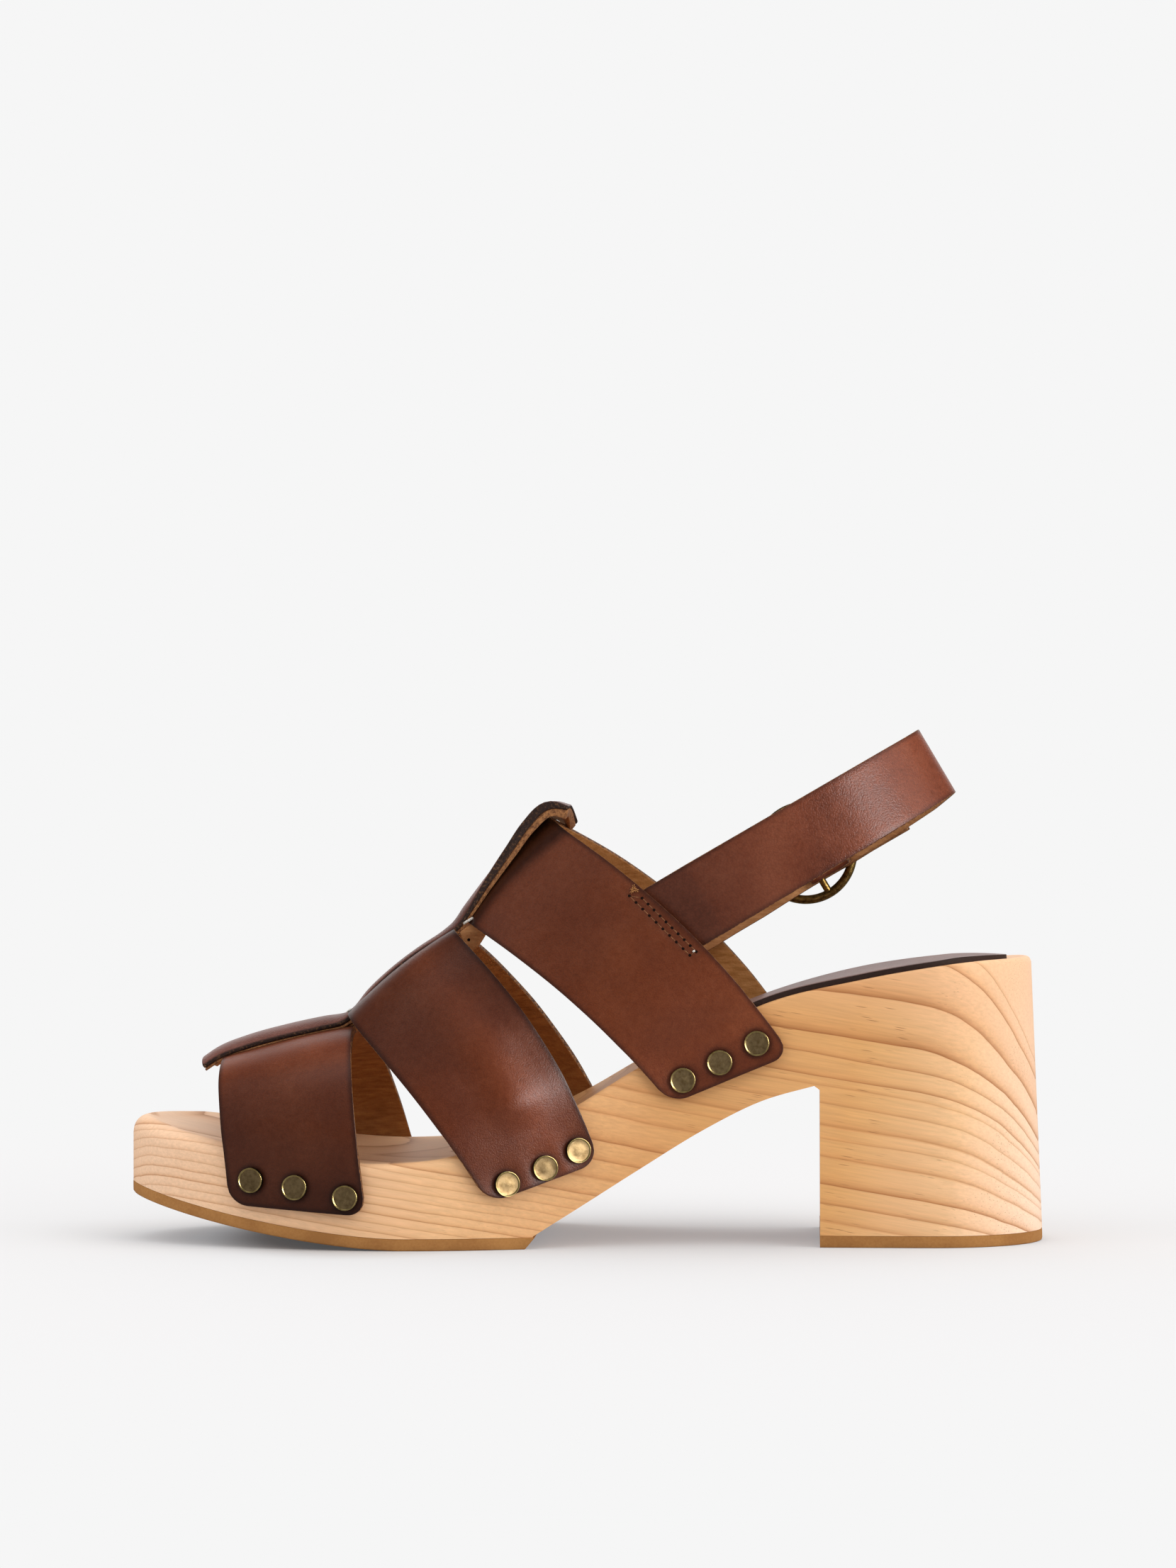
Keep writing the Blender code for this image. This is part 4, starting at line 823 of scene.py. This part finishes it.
def nailBand(band):
    face, normals, rim, shares = bandFace(band)
    # hand-cut hide is never quite even: long shallow ripples in the free part
    ripple = hide["ripple"] * np.sin(face[:, :, 0] * 0.21 + face[:, :, 2] * 0.13) * np.sin(face[:, :, 2] * 0.17 + 0.6)
    above = face[:, :, 2] - rimHeight(face[:, :, 0], 0.5) - hide["clampedTo"]
    free = np.clip(above / hide["freeRun"], 0.0, 1.0)
    crown = bands[band]["crown"] * (1 - (2 * shares - 1) ** 2)[None]  # the hide bulges between its edges
    face = face + normals * ((ripple + crown + pressedIn(band, face)) * free)[:, :, None]
    spots = np.array([studSpot(band, x, z, side)[0] for x, z in bands[band]["studs"] for side in (1, -1)])
    # painted shade round each nail: the hide is drawn darker close to the caps
    nailShadeDistance = np.linalg.norm(face[:, :, None] - spots, axis=3).min(axis=2) - hide["nailShadeRim"]
    flesh = instepLitFlesh if band == "instep" else bandFlesh
    piece = gridPiece(band + "Band", face, [bandGrain, flesh, bandEdge],
                      {"rim": np.minimum(rim, nailShadeDistance), "dye": dyeAndPaintedLightOf(band, face, shares)})
    # soft hollow round each nail, pressed into the hide's thickness
    away = np.linalg.norm((meshPoints(piece) / mm - offMiddle)[:, None] - spots, axis=2).min(axis=1)
    dent = hide["studDent"] / hide["thick"] * np.exp(-(away / hide["dentSize"]) ** 2)
    turnOutward(piece, (0.0, 0.0, 1.0))
    thicken(piece, hide["thick"], weights=1.0 - dent, use_even_offset=True)
    roundEdges(piece, 0.35)
    return finishPiece(piece, ["upper"])

nailed = {band: nailBand(band) for band in bands}
print("bands nailed")

# Spine: a dark-edged strip over a natural one, along the crest of the bands
spine = {"width": 24.0, "top": 2.65, "under": 2.4, "underInset": 0.25, "apart": 0.02, "endRim": 3.0,
         # along x: share of the under strip, and of the top strip at its crown and at its edges
         "shares": ((5.2, 1.0, 0.4, 0.5), (9.0, 0.78, 0.5, 0.84), (19.0, 0.5, 0.56, 0.88), (31.0, 0.27, 1.0, 0.48)),
         "rows": ((100.5, 45.0, -0.6, -0.8), (96.8, 47.5, -0.7, -1.0), (90.0, 50.2, -0.8, -1.2),
                  (80.0, 53.0, -0.8, -1.4), (70.0, 55.2, -0.7, -1.6), (63.4, 56.4, -0.1, -1.6),
                  (59.8, 58.6, 0.6, -3.2), (55.6, 63.6, 0.8, -4.6), (50.0, 68.8, 0.9, -5.2),
                  (43.0, 74.2, 0.8, -5.2), (36.5, 78.6, 0.4, -4.0), (33.0, 81.8, -0.4, -1.6),
                  (30.0, 86.2, -0.8, -1.4), (25.0, 93.4, -0.8, -1.4), (18.5, 102.2, -0.8, -1.4),
                  (13.5, 108.8, -0.8, -1.4), (9.2, 112.5, -0.8, -1.8), (5.2, 111.5, -0.5, -4.0))}

def spineFace(width, across=25, along=150):
    # underside of the strip: x and z of its middle, and how far each edge stands from that
    line = linePoints(spine["rows"], along)
    shares = np.linspace(1.0, -1.0, across)
    face = np.zeros((along, across, 3))
    for k, a in enumerate(shares):
        sag = np.where(a > 0, line[:, 2], line[:, 3]) * a * a
        face[:, k] = np.column_stack([line[:, 0], np.full(along, a * width / 2), line[:, 1] + sag])
    normals = faceNormals(face)
    return face, normals if normals[5, across // 2, 2] > 0 else -normals

def laySpine():
    face = spineFace(spine["width"] - 2 * spine["underInset"])[0]
    piece = gridPiece("spineUnder", face, [paleFlesh, naturalEdge])
    turnOutward(piece, (0.3, 0.0, 1.0))
    thicken(piece, spine["under"], (0, 1), curveAt(spine["shares"], 1, meshPoints(piece)[:, 0] / mm))
    roundEdges(piece, 0.18, 2)
    finishPiece(piece, ["upper"])
    face, normals = spineFace(spine["width"])
    under = spine["under"] * curveAt(spine["shares"], 1, face[:, :, 0])
    face = face + normals * (under + spine["apart"])[:, :, None]
    half = spine["width"] / 2
    toEnd = spine["endRim"] * np.abs(np.linspace(-1, 1, len(face)) ** 20 - 1)
    rim = np.minimum(half - np.abs(face[:, :, 1]), toEnd[:, None])
    piece = gridPiece("spineTop", face, [spineGrain, paleFlesh, paintedEdge], {"rim": rim, "dye": np.ones(rim.shape)})
    # the shoulder rounds off to each edge, and lies flat at the upper end
    points = meshPoints(piece) / mm - offMiddle
    crown, edge = (curveAt(spine["shares"], k, points[:, 0]) for k in (2, 3))
    turnOutward(piece, (0.3, 0.0, 1.0))
    thicken(piece, spine["top"], weights=crown + (edge - crown) * (np.abs(points[:, 1]) / half) ** 4)
    roundEdges(piece, 0.5)
    finishPiece(piece, ["upper"])

laySpine()
print("spine laid")

# Sling: its plane starts at the instep and rises to the back of the ankle. Lines run along the plane and across it
sling = {"start": (-22.9, 85.2), "riseDeg": 30.6, "drop": 3.65, "dropBlend": 29.0, "dropPower": 1.5, "thick": 1.5,
         "width": 20.5, "backWidth": 19.4, "endWidth": 17.0, "taper": (0.5, 0.72, 0.9),
         "dye": ((8.0, 0.6), (35.0, 1.02), (80.0, 1.45)),
         "line": ((10.0, 29.6), (26.0, 30.0), (44.0, 29.0), (58.0, 25.8), (68.6, 19.8), (76.2, 11.4), (80.0, 3.4),
                  (80.0, -4.2), (76.2, -12.4), (68.6, -20.4), (61.0, -25.2), (55.0, -27.4), (47.9, -29.3),
                  (43.9, -33.3), (41.4, -35.4)),
         "loopDeg": (-62.0, -270.0), "fold": ((2.5, 2.35), (5.0, 3.9), (9.2, 7.2))}
buckle = {"along": 38.4, "across": -34.1, "radius": 12.8, "wire": 1.2, "bar": 1.0, "pin": 0.9, "pinLength": 15.7,
          "pinBack": 7.4, "pinGap": 0.1, "pinTip": 0.2, "eye": 2.05, "eyeWire": 0.765,
          "strapWidths": ((20.0, 18.6), (29.0, 18.0), (48.0, 18.0), (54.0, 17.6)),
          "line": ((10.0, -30.4), (20.0, -31.0), (25.4, -31.2), (29.1, -31.8), (33.3, -36.0), (35.4, -37.3),
                   (38.4, -37.95), (41.9, -37.2), (43.9, -35.85), (47.9, -31.85), (51.5, -30.2), (58.0, -28.6),
                   (65.8, -25.0))}
rise = math.radians(sling["riseDeg"])
slingAlong = np.array([-math.cos(rise), 0.0, math.sin(rise)])
slingUp = np.array([math.sin(rise), 0.0, math.cos(rise)])
slingStart = np.array([sling["start"][0], 0.0, sling["start"][1]])

def slingPoint(s, y, lift):
    return slingStart + slingAlong * s + slingUp * lift + np.array([0.0, y, 0.0])

def lapRows(side, width, lifts):
    # where a strap lies under the rear margin of the instep band
    face, normals, rim, shares = bandFace("instep")
    middle = len(face) // 2
    half = slice(0, middle + 1) if side > 0 else slice(None, middle - 1, -1)
    drop = 0.0 if side > 0 else sling["drop"]
    rows = []
    for col in (-12, -8, -4, -1):
        line = face[half, col] - normals[half, col] * gap
        heights = (line - slingStart) @ slingUp
        rows.append([[np.interp(lift * width / 2 - drop, heights, line[:, k]) for k in range(3)] for lift in lifts])
    return np.array(rows)

def strapFace(line, widths, side, across=11):
    # outer face of a strap that stands on its middle line, and its normals
    lifts = np.linspace(1.0, -1.0, across)
    lap = lapRows(side, widths[0], lifts)
    rows = list(lap)
    for (s, y), width in zip(line, widths):
        sunk = np.clip(-y / sling["dropBlend"], 0.0, 1.0) ** sling["dropPower"] if side > 0 else 1.0
        drop = sling["drop"] * sunk
        rows.append([slingPoint(s, y, lift * width / 2 - drop) for lift in lifts])
    face = np.array(rows)
    normals = faceNormals(face)
    middle = across // 2
    away = np.cross(slingUp, np.gradient(face[:, middle], axis=0))
    normals = normals * np.sign(np.sum(normals[:, middle] * away, axis=1))[:, None, None] * -side
    face[len(lap):] += normals[len(lap):] * sling["thick"] / 2
    return face, normals

def strapPiece(name, face, normals, nodes):
    rows, cols = face.shape[:2]
    widths = np.linalg.norm(face[:, 0] - face[:, -1], axis=1)
    across = widths[:, None] * (0.5 - np.abs(np.linspace(-0.5, 0.5, cols)))[None]
    run = runAlong(face[:, cols // 2])
    rim = np.minimum(across, (run[-1] - run)[:, None])
    # the sling is drawn darker next to the band and lighter towards its back end
    dye = np.interp(run, *zip(*sling["dye"]))[:, None] * np.ones(rim.shape)
    piece = gridPiece(name, face, [slingGrain, paleFlesh, bandEdge], {"rim": rim, "dye": dye})
    known = rows // 3, cols // 2
    spot = Vector((face[known] + offMiddle) * mm)
    turnOutward(piece, normals[known], min(piece.data.polygons, key=lambda p: (p.center - spot).length))
    thicken(piece, sling["thick"], offset=-1.0)
    roundEdges(piece, 0.3)
    finishPiece(piece, nodes)

def sewSling():
    line = list(linePoints(sling["line"], 110))
    widths = list(np.interp(np.linspace(0.0, 1.0, len(line)), (0.0,) + sling["taper"],
                            (sling["width"], sling["backWidth"], sling["backWidth"], sling["endWidth"])))
    radius = buckle["bar"] + gap + sling["thick"] / 2
    turn = np.radians(np.linspace(*sling["loopDeg"], 28))
    loop = [(buckle["along"] + radius * math.cos(a), buckle["across"] + radius * math.sin(a)) for a in turn]
    fold = [(buckle["along"], buckle["across"] + radius)]
    fold += [(buckle["along"] + s, buckle["across"] + y) for s, y in sling["fold"]]
    loop += list(linePoints(fold, 16))[1:]
    face, normals = strapFace(line + loop, widths + [sling["endWidth"]] * len(loop), 1)
    strapPiece("slingStrap", face, normals, ["sling_strap"])
    line = list(linePoints(buckle["line"], 90))
    face, normals = strapFace(line, np.interp([s for s, y in line], *zip(*buckle["strapWidths"])), -1)
    strapPiece("buckleStrap", face, normals, ["buckle_strap"])

sewSling()
print("straps sewn")

# Buckle: a round ring with a bar across it, and a pin that turns on the bar
def standAt(axes, spot):
    # matrix of a piece at a spot, whose own three axes point the given ways
    place = (spot + offMiddle) * mm
    return Matrix([[axis[k] for axis in axes] + [place[k]] for k in range(3)] + [[0.0, 0.0, 0.0, 1.0]])

def onSling(s, y, turnDeg=0.0, axis="X"):
    across = np.cross(slingAlong, slingUp)
    place = standAt((slingAlong, slingUp, across), slingPoint(s, y, -sling["drop"]))
    return place @ Matrix.Rotation(math.radians(turnDeg), 4, axis)

def settle(piece, matrix):
    # the piece's place goes into its mesh, and its object back to the origin
    piece.data.transform(matrix)
    piece.matrix_world = Matrix.Identity(4)
    piece.data.update()

def joinPieces(first, others, name):
    bpy.ops.object.select_all(action="DESELECT")
    for piece in [first] + others:
        piece.select_set(True)
    bpy.context.view_layer.objects.active = first
    bpy.ops.object.join()
    first.name = first.data.name = name
    return first

def castBuckle():
    along, across = buckle["along"], buckle["across"]
    bpy.ops.object.select_all(action="DESELECT")
    bpy.ops.mesh.primitive_torus_add(major_radius=buckle["radius"] * mm, minor_radius=buckle["wire"] * mm,
                                     major_segments=96, minor_segments=20)
    ring = bpy.context.active_object
    settle(ring, onSling(along, across))
    bpy.ops.mesh.primitive_cylinder_add(vertices=24, radius=buckle["bar"] * mm, depth=2 * buckle["radius"] * mm)
    bar = bpy.context.active_object
    settle(bar, onSling(along, across, 90.0))
    joinPieces(ring, [bar], "buckleRing")
    ring.data.materials.append(ringBrass)
    finishPiece(ring, ["buckle_ring"])
    # pin: an eye round the bar, then a rod that tapers to a tip over the front of the ring
    seat = across - buckle["wire"] - buckle["pin"] - buckle["pinGap"]
    length = buckle["pinLength"] * mm
    bpy.ops.object.select_all(action="DESELECT")
    bpy.ops.mesh.primitive_cylinder_add(vertices=20, radius=buckle["pin"] * mm, depth=length)
    rod = bpy.context.active_object
    editAll(rod)
    bpy.ops.mesh.subdivide(number_cuts=5)
    bpy.ops.object.mode_set(mode="OBJECT")
    for vertex in rod.data.vertices:
        tip = max(0.0, (vertex.co.z / length - 0.5) / buckle["pinTip"] + 1.0)
        vertex.co.xy *= math.sqrt(max(0.05, 1 - tip ** 2 * 0.8))
    settle(rod, onSling(along - buckle["pinBack"], seat, -90.0, "Y"))
    bpy.ops.mesh.primitive_torus_add(major_radius=buckle["eye"] * mm, minor_radius=buckle["eyeWire"] * mm,
                                     major_segments=40, minor_segments=14)
    eye = bpy.context.active_object
    settle(eye, onSling(along, across, 90.0))
    joinPieces(rod, [eye], "bucklePin")
    rod.data.materials.append(ringBrass)
    finishPiece(rod, ["buckle_prong"])

castBuckle()
print("buckle cast")

# Studs: a nail's cap, with a raised bright rim and a flat stained face
stud = {"radius": 3.25, "height": 1.6, "rim": 0.24, "sink": 0.2, "sinkRun": 0.12, "dome": 0.06,
        "domeShares": (0.45, 0.3), "seat": 0.1,
        "tiltDeg": {"toe": (2.0, 3.0, 2.0), "mid": (4.2, -2.4, 5.2), "instep": (-3.0, -1.0, -2.0)}}

def turnStud():
    bpy.ops.object.select_all(action="DESELECT")
    r, h = stud["radius"] * mm, stud["height"] * mm
    bpy.ops.mesh.primitive_cylinder_add(vertices=56, radius=r, depth=h, location=(0, 0, h / 2), end_fill_type="NGON")
    cap = bpy.context.active_object
    for mat in (studRim, studFace, studSide):
        cap.data.materials.append(mat)
    bpy.ops.object.transform_apply(location=True, rotation=True, scale=True)
    bpy.ops.object.mode_set(mode="EDIT")
    bpy.ops.mesh.select_mode(type="FACE")
    bpy.ops.mesh.select_all(action="DESELECT")
    bpy.ops.object.mode_set(mode="OBJECT")
    for polygon in cap.data.polygons:
        polygon.select = polygon.normal.z > 0.9
        polygon.material_index = 0 if polygon.select else 2
    bpy.ops.object.mode_set(mode="EDIT")
    bpy.ops.mesh.inset(thickness=stud["rim"] * mm)
    bpy.ops.mesh.inset(thickness=stud["sinkRun"] * mm, depth=-stud["sink"] * mm)
    bpy.ops.object.mode_set(mode="OBJECT")
    for polygon in cap.data.polygons:
        if polygon.select:
            polygon.material_index = 1
    bpy.ops.object.mode_set(mode="EDIT")
    flat, slope = stud["domeShares"]
    bpy.ops.mesh.inset(thickness=r * flat)
    bpy.ops.mesh.inset(thickness=r * slope, depth=stud["dome"] * mm)
    bpy.ops.object.mode_set(mode="OBJECT")
    roundEdges(cap, 0.16, angleDeg=35.0)
    return cap

def driveStuds():
    master = turnStud()
    for band in bands:
        for side, label in ((1, "inner"), (-1, "outer")):
            for number, (x, z) in enumerate(bands[band]["studs"], start=1):
                spot, out = studSpot(band, x, z, side)
                cap = master.copy()
                cap.data = master.data.copy()
                bpy.context.scene.collection.objects.link(cap)
                cap.name = cap.data.name = f"studCap{band.capitalize()}{label.capitalize()}{number}"
                base = spot + out * (hide["thick"] - hide["studDent"] + stud["seat"])
                # no nail goes in quite straight: some caps lean back a little
                lean = math.radians(stud["tiltDeg"][band][number - 1])
                out = unit(out * math.cos(lean) + np.array([-1.0, 0.0, 0.0]) * math.sin(lean))
                level = unit(np.cross(out, np.array([0.0, 0.0, 1.0])))
                settle(cap, standAt((level, np.cross(out, level), out), base))
                finishPiece(cap, [f"stud_{band}_{label}_{number}"])
    bpy.data.objects.remove(master)

driveStuds()
print("studs driven")

# Thread and lining: the sling's stitches, thread ends at the spine's two kinks, and the lining that shows there
sewing = {"thread": 0.12, "hole": 0.38, "lift": 0.06, "sunk": 0.05, "tuft": (-13.2, 92.8), "fibres": 16, "fibre": 0.1,
          "knot": (-28.9, 76.9), "knotHalf": 0.35, "knotThick": 0.28,
          # ends of undyed thread: how thick, how many points, and x, how far off the spine's side, and z
          "ends": ((0.36, 12, ((32.4, -0.6, 83.3), (31.6, 0.0, 83.9), (30.6, 0.1, 84.5), (29.6, -0.5, 85.1))),
                   (0.28, 8, ((63.2, -1.2, 60.0), (62.6, -0.8, 60.5), (61.9, -1.0, 60.9)))), "endLift": 0.35}
# upper and lower edge of each tongue of lining
lining = {"thick": 1.1, "bulge": 0.6, "hole": (30.9, 79.2), "holeRadius": 0.4,
          "rear": (((33.4, 11.6, 81.2), (31.6, 11.8, 82.6), (29.0, 11.8, 84.4)),
                   ((31.0, 10.4, 75.2), (28.6, 10.6, 77.2), (25.6, 10.8, 81.7))),
          "front": (((62.6, 10.6, 56.6), (61.2, 10.8, 57.2), (59.6, 10.8, 57.6)),
                    ((62.0, 9.8, 54.2), (60.6, 10.0, 55.0), (58.8, 10.0, 56.2)))}

def onPiece(piece, x, z):
    # the point of the near surface at x and z, and the way it faces
    spot, normal = piece.ray_cast(Vector((x, 70.0, z)) * mm, Vector((0.0, -1.0, 0.0)))[1:3]
    return np.array(spot) / mm, np.array(normal)

def threadTube(name, path, radius, mat, sides=8):
    # a tube along a path in frame millimetres, closed and narrowed at its ends
    path = np.asarray(path, float)
    along = unit(np.gradient(path, axis=0))
    side = unit(np.cross(along, np.array([0.31, 0.9, 0.27])))
    up = np.cross(along, side)
    turn = np.linspace(0.0, 2 * math.pi, sides + 1)
    size = radius * np.sqrt(np.clip(1 - np.linspace(-1.0, 1.0, len(path)) ** 8, 0.0, 1.0))
    around = np.cos(turn)[None, :, None] * side[:, None] + np.sin(turn)[None, :, None] * up[:, None]
    piece = gridPiece(name, path[:, None] + size[:, None, None] * around - offMiddle, [mat])
    closeSeams(piece)
    return piece

def holeCup(name, spot, normal, radius):
    # a pricked hole: a dished disc with a soft lip, pressed into the hide and drawn nearly black as the hole's painted
    # shade
    side = unit(np.cross(normal, np.array([0.2, 0.1, 1.0])))
    up = np.cross(normal, side)
    turn = np.linspace(0.0, 2 * math.pi, 13)
    around = np.cos(turn)[:, None] * side + np.sin(turn)[:, None] * up
    rings = [spot + normal * height + radius * share * around
             for share, height in ((0.0, 0.02), (0.5, 0.03), (0.85, 0.07), (1.0, 0.04), (1.1, -0.1))]
    piece = gridPiece(name, np.asarray(rings) - offMiddle, [holeShade])
    closeSeams(piece, False)
    turnOutward(piece, normal, piece.data.polygons[0])
    return piece

def sewSeam():
    bpy.context.view_layer.update()
    band = nailed["instep"]
    rows = [[onPiece(band, *spot) for spot in np.linspace(start, end, seam["holes"])] for start, end in seam["rows"]]
    holes = [holeCup("stitchHole", spot, normal, sewing["hole"]) for row in rows for spot, normal in row]
    stitches = []
    pairs = [(row[k], row[k + 1]) for row in rows for k in range(seam["holes"] - 1)]
    pairs += [(rows[0][0], rows[1][0]), (rows[0][-1], rows[1][-1])]
    for (a, normalA), (b, normalB) in pairs:
        t = np.linspace(0.16, 0.84, 9)
        arch = sewing["lift"] * (1 - (2 * t - 1) ** 4) - sewing["sunk"]
        path = a + (b - a) * t[:, None] + unit(normalA + normalB) * arch[:, None]
        stitches.append(threadTube("stitch", path, sewing["thread"], tanThread))
    # the thread's tail frays above the last hole, and its knot shows white below
    spot, normal = onPiece(band, *sewing["tuft"])
    level = unit(np.cross(normal, np.array([0.3, 0.0, 1.0])))
    upward = np.cross(level, normal)
    for k, turn in enumerate(np.radians(np.linspace(20.0, 360.0, sewing["fibres"]))):
        reach = (1.05 + 0.5 * math.sin(5.0 * k)) * (math.cos(turn) * level + math.sin(turn) * upward)
        top = spot + 0.6 * reach + normal * (0.3 + 0.15 * math.cos(3.0 * k))
        path = linePoints((spot + 0.15 * reach, top, spot + reach + normal * 0.05), 7)
        stitches.append(threadTube("frayedEnd", path, sewing["fibre"], frayedThread))
    spot, normal = onPiece(band, *sewing["knot"])
    half = slingAlong * sewing["knotHalf"]
    path = linePoints((spot - half, spot + normal * 0.2, spot + half), 7)
    stitches.append(threadTube("knot", path, sewing["knotThick"], whiteThread))
    finishPiece(joinPieces(holes[0], holes[1:], "seamHoles"), smoothDeg=60.0)
    finishPiece(joinPieces(stitches[0], stitches[1:], "seamStitches"), smoothDeg=60.0)

def threadEnds():
    side = np.array([0.0, spine["width"] / 2 + sewing["endLift"], 0.0]) + offMiddle
    ends = [threadTube("threadEnd", linePoints(np.array(path) + side, count), thick, whiteThread)
            for thick, count, path in sewing["ends"]]
    finishPiece(joinPieces(ends[0], ends[1:], "threadEnds"), smoothDeg=60.0)

def foldedLining(name, edges):
    # a tongue of the natural under layer, turned down between two bands
    upper, lower = (linePoints(edge, 9) for edge in edges)
    t = np.linspace(0.0, 1.0, 7)[:, None, None]
    bulge = np.array([0.0, lining["bulge"], 0.0]) * (4 * t * (1 - t))
    piece = gridPiece(name, upper[None] * (1 - t) + lower[None] * t + bulge, [paleFlesh, naturalEdge])
    turnOutward(piece, (0.0, 1.0, 0.0))
    thicken(piece, lining["thick"], (0, 1), offset=-1.0)
    roundEdges(piece, 0.2, 2)
    return finishPiece(piece)

sewSeam()
threadEnds()
liningRear = foldedLining("liningRear", lining["rear"])
foldedLining("liningFront", lining["front"])
bpy.context.view_layer.update()
liningHole = holeCup("liningHole", *onPiece(liningRear, *lining["hole"]), lining["holeRadius"])
finishPiece(liningHole, smoothDeg=60.0)
print("thread and lining sewn")
